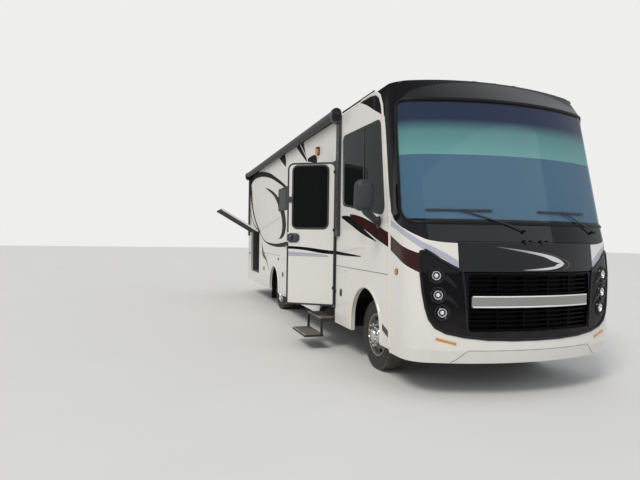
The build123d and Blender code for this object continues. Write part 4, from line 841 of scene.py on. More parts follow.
amber = simple_finish("amber_lens", (0.44, 0.150, 0.006), (0.78, 0.33, 0.015), 0.14, coat=0.5, grain=40.0)
brow_amber = simple_finish("brow_amber", (0.10, 0.030, 0.008), (0.22, 0.070, 0.012), 0.2, coat=0.4,
                           grain=40.0)
brow_lamps, lamp_bases, side_lamps = [], [], []
for x in (-1.150, -0.265, 0.0, 0.265, 1.150):
    z = 3.330 if abs(x) > 1 else 3.398
    low = nose(x, z, -0.02)
    brow_lamps.append(block(low + Vector((-0.030, -0.012, 0.002)), low + Vector((0.030, 0.050, 0.030)),
                            0.012, 3))
    lamp_bases.append(block(low + Vector((-0.037, -0.018, -0.012)), low + Vector((0.037, 0.056, 0.012)),
                            0.006, 2))
for side in (KERB, STREET):
    slit = [(0.855, 0.556), (1.045, 0.604), (1.045, 0.627), (0.855, 0.580)]
    front = [nose(side * x, z, 0.007) for x, z in slit]
    back = [nose(side * x, z, -0.004) for x, z in slit]
    slit_faces = [[0, 1, 2, 3], [7, 6, 5, 4], [0, 4, 5, 1], [1, 5, 6, 2], [2, 6, 7, 3], [3, 7, 4, 0]]
    side_lamps.append((front + back, slit_faces))
    for y, z in [(-0.856, 1.254), (4.836, 1.124), (8.560, 1.124)]:
        side_lamps.append(wall_plate(side, 1.286, y, z, 0.024, 0.024, 0.007, 0.013, 0.005, 4))
        lamp_bases.append(wall_plate(side, 1.278, y, z, 0.029, 0.029, 0.008, 0.010, 0.002, 4))
PORCH_Y, PORCH_Z = 2.010, 2.968
side_lamps.append(wall_plate(KERB, 1.290, PORCH_Y, PORCH_Z, 0.044, 0.050, 0.018, 0.038, 0.014, 5))
lamp_bases.append(wall_plate(KERB, 1.279, PORCH_Y, PORCH_Z + 0.006, 0.050, 0.064, 0.020, 0.016, 0.004, 5))
lamp_bases.append(block(at(-1.330, PORCH_Y - 0.048, PORCH_Z + 0.044),
                        at(-1.280, PORCH_Y + 0.048, PORCH_Z + 0.070), 0.008))
side_markers = piece("side_markers", several(side_lamps), amber, "coach")
piece("brow_markers", several(brow_lamps), brow_amber, "coach")
piece("marker_bases", several(lamp_bases), mask_black, "coach")
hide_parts("marker_lamps")


# Wheels: pressed steel discs. The front ones are bare dark steel with a dusty
# flange, a bright hub cap and tall nut caps; the rear ones are dished under
# stainless covers. Each has hand holes and ten nuts.
stainless = simple_finish("wheel_stainless", (0.50, 0.50, 0.51), (0.80, 0.80, 0.81), 0.16, metal=1.0,
                          grain=18.0)
wheel_steel = simple_finish("wheel_steel", (0.070, 0.070, 0.072), (0.155, 0.153, 0.150), 0.34, metal=0.5,
                            grain=12.0)
flange_dust = simple_finish("flange_dust", (0.20, 0.175, 0.14), (0.36, 0.32, 0.26), 0.6, metal=0.2,
                            grain=22.0)
dress(wheel_steel, "rim_front_kerb", "rim_front_street")
dress(stainless, "rims_rear_kerb", "rims_rear_street")


def copies_tree():
    """Geometry Nodes: copies of the part in a row or a ring, each moved by Step and turned by Turn."""
    tree = bpy.data.node_groups.new("copies", "GeometryNodeTree")
    face = tree.interface
    face.new_socket("Geometry", in_out="INPUT", socket_type="NodeSocketGeometry")
    for name, kind in [("Count", "Int"), ("Step", "Vector"), ("Turn", "Vector"), ("Place", "Vector"),
                       ("Finish", "Material")]:
        face.new_socket(name, in_out="INPUT", socket_type="NodeSocket" + kind)
    face.new_socket("Geometry", in_out="OUTPUT", socket_type="NodeSocketGeometry")

    def node(kind, **settings):
        made = tree.nodes.new(kind)
        for name, value in settings.items():
            setattr(made, name, value)
        return made

    given = node("NodeGroupInput")
    index = node("GeometryNodeInputIndex")
    moved = node("ShaderNodeVectorMath", operation="SCALE")
    turned = node("ShaderNodeVectorMath", operation="SCALE")
    points = node("GeometryNodePoints")
    euler = node("FunctionNodeEulerToRotation")
    copied = node("GeometryNodeInstanceOnPoints")
    real = node("GeometryNodeRealizeInstances")
    placed = node("GeometryNodeTransform")
    finish = node("GeometryNodeSetMaterial")
    result = node("NodeGroupOutput")
    for start, end in [
            (given.outputs["Step"], moved.inputs[0]), (index.outputs[0], moved.inputs["Scale"]),
            (given.outputs["Turn"], turned.inputs[0]), (index.outputs[0], turned.inputs["Scale"]),
            (given.outputs["Count"], points.inputs["Count"]), (moved.outputs[0], points.inputs["Position"]),
            (turned.outputs[0], euler.inputs[0]), (points.outputs[0], copied.inputs["Points"]),
            (given.outputs["Geometry"], copied.inputs["Instance"]),
            (euler.outputs[0], copied.inputs["Rotation"]), (copied.outputs[0], real.inputs[0]),
            (real.outputs[0], placed.inputs["Geometry"]),
            (given.outputs["Place"], placed.inputs["Translation"]),
            (placed.outputs[0], finish.inputs["Geometry"]),
            (given.outputs["Finish"], finish.inputs["Material"]), (finish.outputs[0], result.inputs[0])]:
        tree.links.new(start, end)
    return tree


COPIES = copies_tree()


def repeated(name, shape, paint, body, count, step=(0, 0, 0), turn=(0, 0, 0), place=(0, 0, 0),
             sharp=35):
    """A piece made of copies of one small part, as one plain mesh."""
    item = shaped(name, shape, paint, sharp)
    maker = item.modifiers.new("copies", "NODES")
    maker.node_group = COPIES
    given = {"Count": count, "Step": step, "Turn": turn, "Place": place, "Finish": paint}
    for socket in COPIES.interface.items_tree:
        if socket.in_out == "INPUT" and socket.name in given:
            maker[socket.identifier] = given[socket.name]
    bpy.context.view_layer.update()
    made = bpy.data.meshes.new_from_object(item.evaluated_get(bpy.context.evaluated_depsgraph_get()))
    item.modifiers.clear()
    item.data = made
    return fitted(item, body)


WHEELS = [("front_kerb", KERB, 0.0, "wheel_front_kerb"),
          ("front_street", STREET, 0.0, "wheel_front_street"),
          ("rear_kerb", KERB, WHEELBASE, "wheels_rear_kerb"),
          ("rear_street", STREET, WHEELBASE, "wheels_rear_street")]
AXLE_Z = 0.419
HAND_HOLES, HOLE_STEPS, HOLE_ROWS = 8, (3, 4, 5, 6, 7, 8), (3, 4)
# radius and distance out from the rim's outer face
FRONT_DISC = [(0.252, -0.012), (0.244, -0.006), (0.232, -0.012), (0.216, -0.040), (0.196, -0.036),
              (0.178, -0.026), (0.166, -0.018), (0.150, -0.016), (0.106, -0.016), (0.098, -0.020)]
FRONT_FLANGE = [(0.238, -0.012), (0.243, -0.004), (0.250, -0.001), (0.256, -0.006), (0.256, -0.014)]
FRONT_HUB = [(0.104, -0.022), (0.098, 0.004), (0.088, 0.016), (0.078, 0.020), (0.074, 0.052),
             (0.066, 0.062), (0.030, 0.066), (0.0, 0.067)]
REAR_DISC = [(0.252, -0.012), (0.244, -0.006), (0.232, -0.012), (0.220, -0.060), (0.206, -0.118),
             (0.190, -0.140), (0.172, -0.146), (0.150, -0.146), (0.108, -0.146), (0.100, -0.144)]
REAR_HUB = [(0.106, -0.148), (0.100, -0.100), (0.094, -0.050), (0.084, -0.034), (0.050, -0.028),
            (0.0, -0.026)]
NUTS, NUT_RING = 10, 0.128


def wheel_disc(side, rows, centre):
    """Pressed disc with oval hand holes, from (radius, outward) rows."""
    steps = 96
    verts, faces = [], []
    for radius, out in rows:
        for step in range(steps):
            turn = 2 * math.pi * step / steps
            verts.append(centre + Vector((side * out, radius * math.cos(turn), radius * math.sin(turn))))
    for ring in range(len(rows) - 1):
        for step in range(steps):
            if ring in HOLE_ROWS and step % (steps // HAND_HOLES) in HOLE_STEPS:
                continue
            first, after = ring * steps, (step + 1) % steps
            faces.append([first + step, first + after, first + steps + after, first + steps + step])
    return verts, faces


def outer_x(node):
    """Outer face of a wheel's rim or tyre, from its own box."""
    low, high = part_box(node)
    return low.x if "kerb" in node else high.x


# node of the rim, disc, hub, finish, face under the nuts and how tall they are
WHEEL_KINDS = {"front": ("rim_", FRONT_DISC, FRONT_HUB, wheel_steel, -0.016, 0.066),
               "rear": ("rims_", REAR_DISC, REAR_HUB, stainless, -0.146, 0.044)}
for name, side, axle, body in WHEELS:
    rim, rows, hub, disc_paint, nut_x, tall = WHEEL_KINDS[name.split("_")[0]]
    centre = Vector((outer_x(rim + name), AXLE_Y + axle, AXLE_Z))
    piece("wheel_cover_" + name, wheel_disc(side, rows, centre), disc_paint, body, 60)
    if "front" in name:
        flange = lathe([(r, side * out) for r, out in FRONT_FLANGE], centre, (1, 0, 0), 64)
        piece("rim_flange_" + name, flange, flange_dust, body)
    cap = lathe([(r, side * out) for r, out in hub], centre, (1, 0, 0), 48)
    piece("hub_cap_" + name, cap, stainless, body)
    nut_rows = [(0.0, tall), (0.010, tall - 0.002), (0.0165, tall - 0.010), (0.0185, 0.004), (0.0225, 0.0),
                (0.0225, -0.004)]
    nut = lathe([(r, side * (nut_x + out)) for r, out in nut_rows], (0, 0, NUT_RING), (1, 0, 0), 6)
    repeated("wheel_nuts_" + name, nut, stainless, body, NUTS, turn=(2 * math.pi / NUTS, 0, 0),
             place=centre)


# Tyres: black rubber, brown with dust in the tread and on the walls. The band
# has straight grooves moulded in it, and the shoulders a row of cut blocks.
tyre_rubber, wire = new_finish("tyre_rubber")
spot = wire.node("TexCoord", output="Object")
y = wire.node("SeparateXYZ", {0: spot}, output=1) - AXLE_Y
z = wire.node("SeparateXYZ", {0: spot}, output=2) - AXLE_Z
y = y - (y > WHEELBASE / 2) * WHEELBASE
radius = wire.math("SQRT", y * y + z * z)
dust = wire.noise(spot, 12.0, 5.0)
tread_dust = ((radius > 0.395) * 0.45 + 0.12) * dust
rings = wire.math("SINE", radius * 620.0) * (radius < 0.375) * (radius > 0.285)
surface(wire, tread_dust.over((0.014, 0.014, 0.014), (0.24, 0.20, 0.155)), 0.62 + dust * 0.2,
        relief=rings * 0.25 + wire.noise(spot, 90.0) * 0.5, depth=0.0012)
dress(tyre_rubber, "tyre_front_kerb", "tyre_front_street", "tyres_rear_kerb", "tyres_rear_street")
TREAD = [(0.372, 0.1165), (0.398, 0.1135), (0.4110, 0.106), (0.4165, 0.094)]
for groove in (0.062, 0.0, -0.062):
    TREAD += [(0.4188, groove + 0.007), (0.4080, groove + 0.005), (0.4080, groove - 0.005),
              (0.4188, groove - 0.007)]
TREAD += [(0.4165, -0.094), (0.4110, -0.106), (0.398, -0.1135), (0.372, -0.1165)]
TREAD_MIDDLE, DUAL_SPACING = 0.1225, 0.292
SHOULDER_BLOCKS = 76
shoulders = several([block((middle - 0.019, -0.0082, 0.4085), (middle + 0.019, 0.0082, 0.4186), 0.002, 1)
                     for middle in (-0.094, 0.094)])
for name, side, axle, body in WHEELS:
    tyres = [(name, TREAD_MIDDLE)]
    if "rear" in name:
        tyres.append((name + "_inner", TREAD_MIDDLE + DUAL_SPACING))
    outer = outer_x(("tyre_" if "front" in name else "tyres_") + name)
    for tag, deep in tyres:
        centre = Vector((outer - side * deep, AXLE_Y + axle, AXLE_Z))
        piece("tread_band_" + tag, lathe(TREAD, centre, (1, 0, 0), 96), tyre_rubber, body, 25)
        repeated("tread_blocks_" + tag, shoulders, tyre_rubber, body, SHOULDER_BLOCKS,
                 turn=(2 * math.pi / SHOULDER_BLOCKS, 0, 0), place=centre)


# Entry door: a cream leaf in a black extruded frame, with a moulded pull and
# lock plate at its free edge and a small catch for the screen higher up.
trim_black = simple_finish("black_trim", (0.014, 0.014, 0.015), (0.034, 0.034, 0.036), 0.42, grain=22.0)
LEAF_OUT = Vector((-math.cos(DOOR_OPEN), -math.sin(DOOR_OPEN), 0))
LEAF_ALONG = Vector((-math.sin(DOOR_OPEN), math.cos(DOOR_OPEN), 0))


def on_door(u, z, out=0.0):
    """A point of the open door: u along it from the hinge, out from its outer face."""
    base = Vector((DOOR_HINGE.x, DOOR_HINGE.y, 0)) + LEAF_ALONG * u + Vector((0, 0, z))
    return base + LEAF_OUT * (out - 0.012)


def arch_rect(u0, u1, v0, v1, radius):
    """Points round a rectangle that is rounded at its top corners only."""
    top = [spot for spot in round_rect(u0, u1, v0, v1, radius, 7) if spot[1] > (v0 + v1) / 2]
    return top + [(u0, v0 + 0.004), (u0 + 0.004, v0), (u1 - 0.004, v0), (u1, v0 + 0.004)]


def leaf_plate(u0, u1, v0, v1, radius, depth, edge, steps, out=0.0):
    """A rounded plate flat on the open door's outer face."""
    outline = round_rect(u0, u1, v0, v1, radius, steps)
    return plate([(on_door(u, z, out), LEAF_OUT) for u, z in outline], depth, edge)


frame_path = [on_door(u, z, -0.021) for u, z in arch_rect(0.0195, 0.7215, 0.6335, 2.6685, 0.080)]
edge_section = [(-0.010, -0.024), (0.010, -0.024), (0.013, -0.020), (0.013, 0.020), (0.010, 0.025),
                (-0.010, 0.025), (-0.013, 0.020), (-0.013, -0.020)]
edge_frame = sweep(frame_path, edge_section, True, LEAF_OUT)
window_path = [on_door(u, z, 0.001) for u, z in round_rect(0.118, 0.652, 1.728, 2.637, 0.075, 7)]
window_seal = sweep(window_path, oval(0.014, 0.008, 10), True, LEAF_OUT)
piece("door_trim", several([edge_frame, window_seal]), trim_black, "door")
lock = leaf_plate(0.540, 0.728, 1.522, 1.660, 0.055, 0.016, 0.006, 6)
PULL = [(0.665, 1.545, 0.012), (0.668, 1.565, 0.038), (0.668, 1.592, 0.046), (0.668, 1.618, 0.038),
        (0.665, 1.638, 0.012)]
pull = sweep([on_door(u, z, out) for u, z, out in PULL], oval(0.022, 0.009, 12), lean=LEAF_OUT)
paddle = leaf_plate(0.566, 0.632, 1.545, 1.637, 0.022, 0.009, 0.004, 5, 0.016)
catch = leaf_plate(0.648, 0.728, 2.108, 2.192, 0.012, 0.018, 0.004, 3)
lock_paint = simple_finish("lock_plate", (0.020, 0.022, 0.028), (0.045, 0.048, 0.058), 0.3, coat=0.3,
                           grain=16.0)
piece("door_lock", several([lock, pull, paddle, catch]), lock_paint, "door")


# Door frame: the black extrusion round the opening in the wall. Its flat lip
# covers the cut edge and is screwed to the wall all round.
opening = [at(-1.283, y, z) for y, z in arch_rect(1.092, 1.849, 0.606, 2.696, 0.09)]
lip = [(-0.012, -0.006), (0.012, -0.006), (0.012, 0.004), (0.008, 0.007), (-0.008, 0.007), (-0.012, 0.004)]
piece("door_frame", sweep(opening, lip, True, (-1, 0, 0)), trim_black, "coach")


# Steps: two folding treads on black side plates. Each tread is brown grit
# with raised ribs across it, and a pale worn nosing at its outer edge.
dress(simple_finish("step_steel", (0.012, 0.012, 0.012), (0.035, 0.033, 0.032), 0.45, grain=16.0),
      "entry_steps")
grit = simple_finish("step_grit", (0.105, 0.092, 0.080), (0.21, 0.185, 0.165), 0.85, grain=60.0, bump=0.002)
nosing = simple_finish("step_nosing", (0.32, 0.30, 0.27), (0.52, 0.50, 0.46), 0.5, grain=30.0)
STEP_TREADS = [(-1.480, -1.250, 0.450, 13), (-1.710, -1.440, 0.220, 16)]
pads, noses = [], []
for x0, x1, top, _ in STEP_TREADS:
    pads.append(block(at(x0 + 0.016, 1.142, top - 0.002), at(x1 - 0.004, 1.812, top + 0.004), 0.002, 1))
    noses.append(block(at(x0 - 0.002, 1.138, top - 0.022), at(x0 + 0.014, 1.816, top + 0.005), 0.004))
piece("step_pads", several(pads), grit, "coach")
piece("step_noses", several(noses), nosing, "coach")
rib = block((0, -0.330, -0.001), (0.005, 0.330, 0.003), 0.0012, 1)
for index, (x0, _, top, ribs) in enumerate(STEP_TREADS):
    repeated(f"step_ribs_{index}", rib, grit, "coach", ribs, step=(0.0152, 0, 0),
             place=at(x0 + 0.024, 1.477, top + 0.004))


# Awning: a fabric roll on a dark roller inside its rounded case along the
# gutter, with moulded end caps and a pale lead rail below. It hangs on two
# black arms that are screwed flat to the wall.


def skin(rows):
    """A closed form over loops of points, each with as many as the next."""
    count = len(rows[0])
    verts = [spot for row in rows for spot in row]
    faces = [[r * count + k, r * count + (k + 1) % count, (r + 1) * count + (k + 1) % count,
              (r + 1) * count + k]
             for r in range(len(rows) - 1) for k in range(count)]
    faces += [list(range(count)), [(len(rows) - 1) * count + k for k in range(count)]]
    return verts, faces


arm_black = simple_finish("awning_black", (0.016, 0.017, 0.019), (0.045, 0.047, 0.050), 0.38, grain=6.0,
                          stretch=(1, 0.15, 1))
dress(arm_black, "awning")
canvas = simple_finish("awning_fabric", (0.055, 0.056, 0.060), (0.11, 0.11, 0.118), 0.8, grain=8.0,
                       stretch=(1, 0.1, 1))
roll = []
for step in range(2):
    radius = 0.0575 + 0.004 * step
    front_end, back_end = 1.06 + 0.02 * step, 8.58 - 0.02 * step
    roll.append(lathe([(0.0, front_end), (radius - 0.006, front_end), (radius, front_end + 0.015),
                       (radius, back_end - 0.015), (radius - 0.006, back_end), (0.0, back_end)],
                      at(-1.355, 0, 3.335), (0, 1, 0), 28))
piece("awning_roll", several(roll), canvas, "coach")
gutter_lip = [(-0.012, -0.004), (0.012, -0.004), (0.012, 0.003), (0.006, 0.009), (-0.006, 0.009),
              (-0.012, 0.003)]
case = [block(at(-1.322, 1.056, 3.272), at(-1.2795, 8.589, 3.356), 0.008),
        sweep([at(-1.2835, y / 10, 3.334) for y in range(-2, 10)], gutter_lip, lean=(-1, 0, 0))]
for y0 in (0.928, 8.583):
    rows = []
    for y, grow in [(0.0, 0.80), (0.010, 0.94), (0.030, 1.0), (0.104, 1.0), (0.124, 0.94), (0.134, 0.80)]:
        outline = round_rect(-0.070 * grow, 0.070 * grow, -0.112 * grow, 0.088 * grow, 0.066 * grow, 7)
        rows.append([at(-1.352 + u, y0 + y, 3.322 + v) for u, v in outline])
    case.append(skin(rows))
piece("awning_case", several(case), mask_black, "coach", 40)
lead = simple_finish("awning_lead_rail", (0.17, 0.15, 0.125), (0.26, 0.235, 0.20), 0.5, metal=0.3,
                     grain=5.0)
lead_section = [(-0.0065, -0.004), (0.0065, -0.004), (0.0065, 0.004), (-0.0065, 0.004)]
lead_rail = sweep([at(-1.352, 1.06 + 7.526 * k / 12, 3.2755) for k in range(13)], lead_section,
                  lean=(0, 0, 1))
piece("awning_lead", lead_rail, lead, "coach")
screw = lathe([(0.0, 0.004), (0.005, 0.0035), (0.008, 0.001), (0.0085, -0.001)], (0, 0, 0), (-1, 0, 0), 12)
for index, y in enumerate((0.995, 8.650)):
    repeated(f"awning_screws_{index}", screw, stainless, "coach", 9, step=(0, 0, 0.185),
             place=at(-1.3205, y, 1.68))


# Mirrors: a tall moulded head with rounded shoulders on a swan-neck arm, its
# glass facing back. The arm ends in a plate foot that is bolted to the cap
# below the side window.
mirror_black = simple_finish("mirror_black", (0.018, 0.020, 0.024), (0.040, 0.043, 0.050), 0.45, grain=26.0)
mirror_glass = simple_finish("mirror_glass", (0.60, 0.62, 0.64), (0.72, 0.74, 0.76), 0.03, metal=1.0,
                             grain=2.0)
MIRROR_X, MIRROR_Z = 1.550, 2.068
HEAD_WIDE, HEAD_TALL = 0.118, 0.172
ARM = [(1.292, -0.392, 1.788), (1.33, -0.42, 1.798), (1.40, -0.50, 1.822), (1.475, -0.57, 1.855),
       (1.53, -0.596, 1.885), (1.55, -0.598, 1.92)]
heads, mirrors, arms = [], [], []
for side, back in ((KERB, 0.0), (STREET, 0.230)):
    rows = []
    for depth, grow in [(-0.652, 0.62), (-0.640, 0.84), (-0.615, 0.96), (-0.585, 1.0), (-0.556, 0.985),
                        (-0.545, 0.95)]:
        row = []
        for u, v in round_rect(-HEAD_WIDE * grow, HEAD_WIDE * grow, -HEAD_TALL * grow, HEAD_TALL * grow,
                               0.075 * grow, 6):
            taper = 1.0 - 0.10 * (v + HEAD_TALL) / (2 * HEAD_TALL)
            row.append(at(side * MIRROR_X + u * taper, depth + back, MIRROR_Z + v))
        rows.append(row)
    heads.append(skin(rows))
    pane = [(at(side * MIRROR_X + u, back - 0.5455, MIRROR_Z + v), Vector((0, 1, 0)))
            for u, v in round_rect(-0.100, 0.100, -0.150, 0.150, 0.06, 6)]
    mirrors.append(plate(pane, 0.003, 0.001))
    arms.append(sweep([at(side * x, y + back, z) for x, y, z in ARM], oval(0.046, 0.038, 12),
                      lean=(0, 0, 1)))
    arms.append(wall_plate(side, 1.279, back - 0.385, 1.785, 0.040, 0.068, 0.028, 0.020, 0.007, 5))
    arms.append(lathe([(0.0, 0.030), (0.030, 0.028), (0.046, 0.020), (0.052, 0.008), (0.052, 0.0)],
                      at(side * 1.281, back - 0.390, 1.785), (side, 0, 0), 32))
mirror_heads = piece("mirror_heads", several(heads + arms), mirror_black, "coach", 50)
piece("mirror_panes", several(mirrors), mirror_glass, "coach")
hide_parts("mirrors")


# Wipers: matt black blades on matt black arms, sprung against the glass from
# two pivots below it.
dress(trim_black, "wipers")


# Luggage doors: laminated doors in the skirts, hinged along their tops. Each is
# held shut by one or two round black paddle latches at mid height, let through
# the door from outside.
LATCH_Z = 0.825
LATCHES = {"luggage_door_kerb_front": (KERB, [(0.863, 0.845)]),
           "luggage_door_kerb_middle": (KERB, [(3.36, LATCH_Z), (4.40, LATCH_Z)]),
           "luggage_door_kerb_rear": (KERB, [(6.43, LATCH_Z)]),
           "luggage_door_street_front": (STREET, [(1.56, LATCH_Z), (2.85, LATCH_Z)]),
           "luggage_door_street_rear": (STREET, [(6.35, LATCH_Z), (8.05, LATCH_Z)])}
for name, (side, places) in LATCHES.items():
    latches = []
    for y, z in places:
        latches.append(wall_plate(side, 1.2795, y, z, 0.040, 0.052, 0.034, 0.010, 0.004))
        latches.append(wall_plate(side, 1.289, y, z, 0.022, 0.030, 0.012, 0.006, 0.003, 4))
    piece(name + "_latches", several(latches), lock_paint, name + "_body")


# Arch sheets: near-black sheets that close the arches behind the wheels down to
# the rails, split to clear the axles, as painted shade behind the wheels, with a
# black flap behind each rear pair.
ARCH_TOP, SKIRT_INSIDE = 0.806, 1.228
sheets = []
for side in (KERB, STREET):
    for axle, half, deep, split in [(0.0, 0.545, 0.592, 0.10), (WHEELBASE, 0.470, 0.557, 0.13)]:
        for start, end in [(-half, -split), (split, half)]:
            sheets.append(block(at(side * deep - 0.004, axle + start, 0.44),
                                at(side * deep + 0.004, axle + end, ARCH_TOP), 0.002, 1))
        for end in (-half, half):
            sheets.append(block(at(min(side * deep, side * SKIRT_INSIDE), axle + end - 0.004, 0.43),
                                at(max(side * deep, side * SKIRT_INSIDE), axle + end + 0.004, ARCH_TOP),
                                0.002, 1))
    flap = round_rect(-0.300, 0.300, -0.005, 0.005, 0.0045, 2)
    sheets.append(skin([[at(side * 0.915 + u, 5.770 + lean + v, z) for u, v in flap]
                        for z, lean in [(0.455, 0.0), (0.36, 0.006), (0.26, 0.018), (0.17, 0.036)]]))
# near black: painted shade behind the wheels, and the flaps' own black
shade_and_flap_black = simple_finish("shade_and_flap_black", (0.004, 0.004, 0.004), (0.011, 0.0105, 0.010), 0.9, grain=18.0,
                            **{"Specular IOR Level": 0.1})
piece("arch_shades_and_flaps", several(sheets), shade_and_flap_black, "coach")


# Roof fittings: two air conditioners under moulded cream shrouds with side
# louvres, and three low crank-up vents in square curbs, screwed to the roof.
shroud_paint = simple_finish("roof_plastic", (0.60, 0.59, 0.56), (0.76, 0.75, 0.72), 0.5, grain=6.0)
COOLERS, VENTS = (2.60, 6.90), [(0.50, 0.90), (-0.55, 4.70), (0.42, 8.20)]
# height, half width, half length and corner of each level
COOLER_LEVELS = [(3.392, 0.336, 0.496, 0.118), (3.43, 0.338, 0.498, 0.120), (3.445, 0.322, 0.482, 0.115),
                 (3.60, 0.312, 0.470, 0.115), (3.665, 0.292, 0.448, 0.110), (3.704, 0.250, 0.404, 0.100),
                 (3.722, 0.19, 0.34, 0.080), (3.728, 0.10, 0.24, 0.050)]
VENT_LEVELS = [(3.352, 0.188, 0.188, 0.020), (3.412, 0.188, 0.188, 0.020), (3.418, 0.180, 0.180, 0.020),
               (3.422, 0.186, 0.186, 0.030), (3.446, 0.184, 0.184, 0.034), (3.464, 0.160, 0.160, 0.040),
               (3.476, 0.110, 0.110, 0.040), (3.479, 0.05, 0.05, 0.030)]


def roof_cover(x, y, levels, steps):
    """A moulded cover on the roof about a middle, one rounded outline to a level."""
    return skin([[at(x + u, y + v, z) for u, v in round_rect(-wide, wide, -long, long, turn, steps)]
                 for z, wide, long, turn in levels])


shrouds = []
for y in COOLERS:
    shrouds.append(roof_cover(0.0, y, COOLER_LEVELS, 7))
    for side in (KERB, STREET):
        middle = side * 0.150
        shrouds.append(block(at(middle - 0.030, y - 0.36, 3.700), at(middle + 0.030, y + 0.20, 3.7265),
                             0.010))
for x, y in VENTS:
    shrouds.append(roof_cover(x, y, VENT_LEVELS, 5))
    for middle in (x - 0.096, x, x + 0.096):
        shrouds.append(block(at(middle - 0.006, y - 0.12, 3.470), at(middle + 0.006, y + 0.12, 3.4785),
                             0.003, 1))
roof_shrouds = piece("roof_shrouds", several(shrouds), shroud_paint, "coach", 40)
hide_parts("roof_units")
SLAT_X, SLAT_HALF, SLAT_RISE = 0.324, 0.34, 0.020
slats = []
for side in (KERB, STREET):
    for y in COOLERS:
        low = (side * SLAT_X - 0.006, y - SLAT_HALF, 0.0)
        high = (side * SLAT_X + 0.006, y + SLAT_HALF, 0.009)
        slats.append(block(low, high, 0.003, 1))
repeated("roof_louvres", several(slats), shroud_paint, "coach", 7, step=(0, 0, SLAT_RISE),
         place=at(0, 0, 3.462))


# Back end: red tail lamps with black bezels screwed round them, a black steel
# bumper, and a bright tube ladder with ribbed rubber grips slid on to its rungs.
dress(simple_finish("red_lens", (0.20, 0.006, 0.006), (0.42, 0.015, 0.012), 0.12, coat=0.8, grain=40.0),
      "tail_lamps")
dress(simple_finish("bumper_steel", (0.012, 0.012, 0.012), (0.045, 0.042, 0.040), 0.5, grain=12.0),
      "rear_bumper")
dress(simple_finish("ladder_tube", (0.55, 0.55, 0.56), (0.78, 0.78, 0.79), 0.22, metal=1.0, grain=10.0),
      "rear_ladder")
bezel_outline = round_rect(-0.092, 0.092, -0.076, 0.076, 0.046, 6)
bezels = []
for side in (KERB, STREET):
    for z in (0.95, 1.11):
        path = [at(side * 1.015 + u, 8.906, z + v) for u, v in bezel_outline]
        bezels.append(sweep(path, oval(0.008, 0.012, 8), True, (0, 1, 0)))
piece("back_trim", several(bezels), trim_black, "coach")
grip = [(0.012, -0.150)]
for rib in range(15):
    start = -0.148 + rib * 0.0200
    grip += [(0.0165, start), (0.0165, start + 0.008), (0.0150, start + 0.010), (0.0150, start + 0.018)]
grip.append((0.012, 0.150))
repeated("ladder_grips", lathe(grip, (0, 0, 0), (1, 0, 0), 16), rubber, "coach", 9,
         step=(0, 0, 0.285), place=at(-0.70, 8.995, 0.960))


# Street side: the slide room's window frame and the bulb seal behind its
# flange, and three small lockable hatches, for fuel, water and mains.
window_path = [at(1.3075, y, z) for y, z in round_rect(2.490, 4.110, 2.055, 2.775, 0.080, 7)]
window_rim = [(-0.016, -0.003), (0.016, -0.003), (0.016, 0.002), (0.010, 0.006), (-0.010, 0.006),
              (-0.016, 0.002)]
bulb_path = [at(1.2835, y, z) for y, z in round_rect(1.885, 4.715, 1.220, 3.035, 0.030, 4)]
slide_shapes = [sweep(window_path, window_rim, True, (1, 0, 0)),
                sweep(bulb_path, oval(0.007, 0.0025, 8), True, (1, 0, 0))]
piece("slide_trim", several(slide_shapes), rubber, "slide")
hatches, hatch_locks = [], []
for y, z, wide, tall in [(0.86, 0.86, 0.085, 0.085), (4.35, 0.94, 0.11, 0.11), (8.50, 0.84, 0.09, 0.11)]:
    hatches.append(wall_plate(STREET, 1.2795, y, z, wide, tall, 0.020, 0.005, 0.002, 5))
    hatches.append(wall_plate(STREET, 1.283, y, z, wide - 0.014, tall - 0.014, 0.014, 0.006, 0.002, 5))
    hatch_locks.append(lathe([(0.0, 0.0075), (0.007, 0.007), (0.011, 0.004), (0.012, -0.002)],
                             at(1.287, y, z + tall * 0.62), (1, 0, 0), 20))
piece("service_hatches", several(hatches), strip_paint, "coach")
piece("hatch_locks", several(hatch_locks), stainless, "coach")


# Window bars: the black upright between the fixed and sliding panes of each
# side window, set in the frame behind the glass line.
bars = []
for side, y, low, high in [(KERB, 0.112, 1.975, 2.955), (STREET, 0.112, 1.975, 2.955),
                           (KERB, 4.232, 2.165, 2.590), (STREET, 5.900, 2.165, 2.765),
                           (STREET, 7.800, 2.165, 2.765)]:
    middle = side * 1.2785
    bars.append(block(at(middle - 0.003, y - 0.014, low), at(middle + 0.003, y + 0.014, high), 0.002, 1))
piece("window_bars", several(bars), trim_black, "coach")


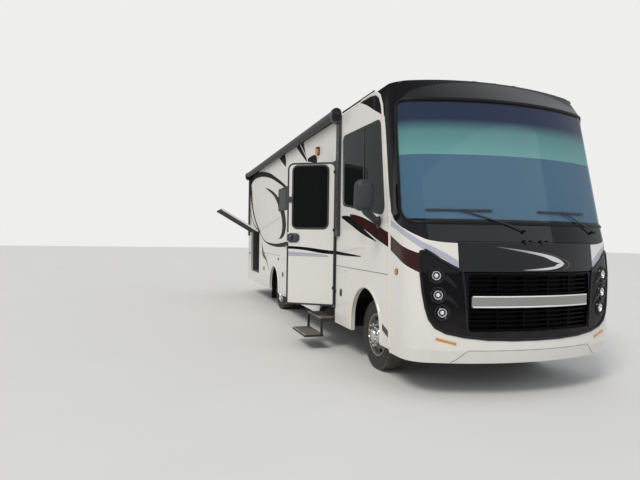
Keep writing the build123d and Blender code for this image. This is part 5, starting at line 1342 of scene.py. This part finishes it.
# Cab: a moulded dash with a wheel, two captain's chairs, the cabinet over the
# windshield, carpet on the deck, and the lined bay behind the side hatch.
cloth_made, wire = new_finish("chair_cloth")
spot = wire.node("TexCoord", output="Object")
weave = wire.node("TexWave", {"Vector": spot, "Scale": 120.0, "Distortion": 2.0}, output=1)
surface(wire, wire.noise(spot, 7.0, 4.0).over((0.26, 0.235, 0.20), (0.40, 0.37, 0.32)), 0.85, relief=weave,
        depth=0.0015)
dress(cloth_made, "cab_seats")
dress(simple_finish("dash_plastic", (0.050, 0.050, 0.054), (0.095, 0.092, 0.090), 0.6, grain=40.0),
      "dashboard")
wood = simple_finish("cabinet_wood", (0.20, 0.105, 0.052), (0.36, 0.21, 0.115), 0.4, coat=0.2, grain=3.0,
                     stretch=(1, 1, 9))
dress(wood, "overhead_cabinet")
deck_made, wire = new_finish("deck_carpet")
spot = wire.node("TexCoord", output="Object")
pile = wire.noise(spot, 50.0, 4.0)
below = wire.node("SeparateXYZ", {0: spot}, output=2) < 1.049
carpet = pile.over((0.16, 0.135, 0.105), (0.28, 0.24, 0.19))
underside = wire.noise(spot, 5.0, 3.0).over((0.010, 0.010, 0.010), (0.035, 0.031, 0.028))
surface(wire, below.over(carpet, underside), 0.9 + pile * 0.1, relief=pile, depth=0.002)
dress(deck_made, "floor_deck")
dress(simple_finish("bay_lining", (0.055, 0.055, 0.053), (0.11, 0.108, 0.10), 0.85, grain=24.0),
      "bay_liner", "luggage_boxes")


# Chassis: black-painted rails, axles and linkage with road dust on them, a
# rough cast engine and gearbox, a finned radiator, moulded tanks and a rusted
# exhaust.
steel = simple_finish("chassis_steel", (0.014, 0.013, 0.013), (0.075, 0.062, 0.050), 0.55, grain=7.0)
dress(steel, "chassis_frame", "front_axle", "rear_axle", "knuckle_kerb", "knuckle_street", "tie_rod")
dress(simple_finish("cast_metal", (0.07, 0.068, 0.064), (0.17, 0.16, 0.15), 0.6, metal=0.6, grain=18.0),
      "engine_block", "driveline")
dress(simple_finish("tank_plastic", (0.020, 0.020, 0.021), (0.055, 0.053, 0.050), 0.5, grain=9.0),
      "underfloor_tanks")
dress(simple_finish("exhaust_steel", (0.10, 0.055, 0.030), (0.26, 0.19, 0.14), 0.6, metal=0.5, grain=12.0),
      "exhaust")
fins = simple_finish("radiator_fins", (0.10, 0.10, 0.10), (0.30, 0.30, 0.31), 0.4, metal=0.8, grain=8.0,
                     stretch=(1, 1, 30))
dress(fins, "radiator")
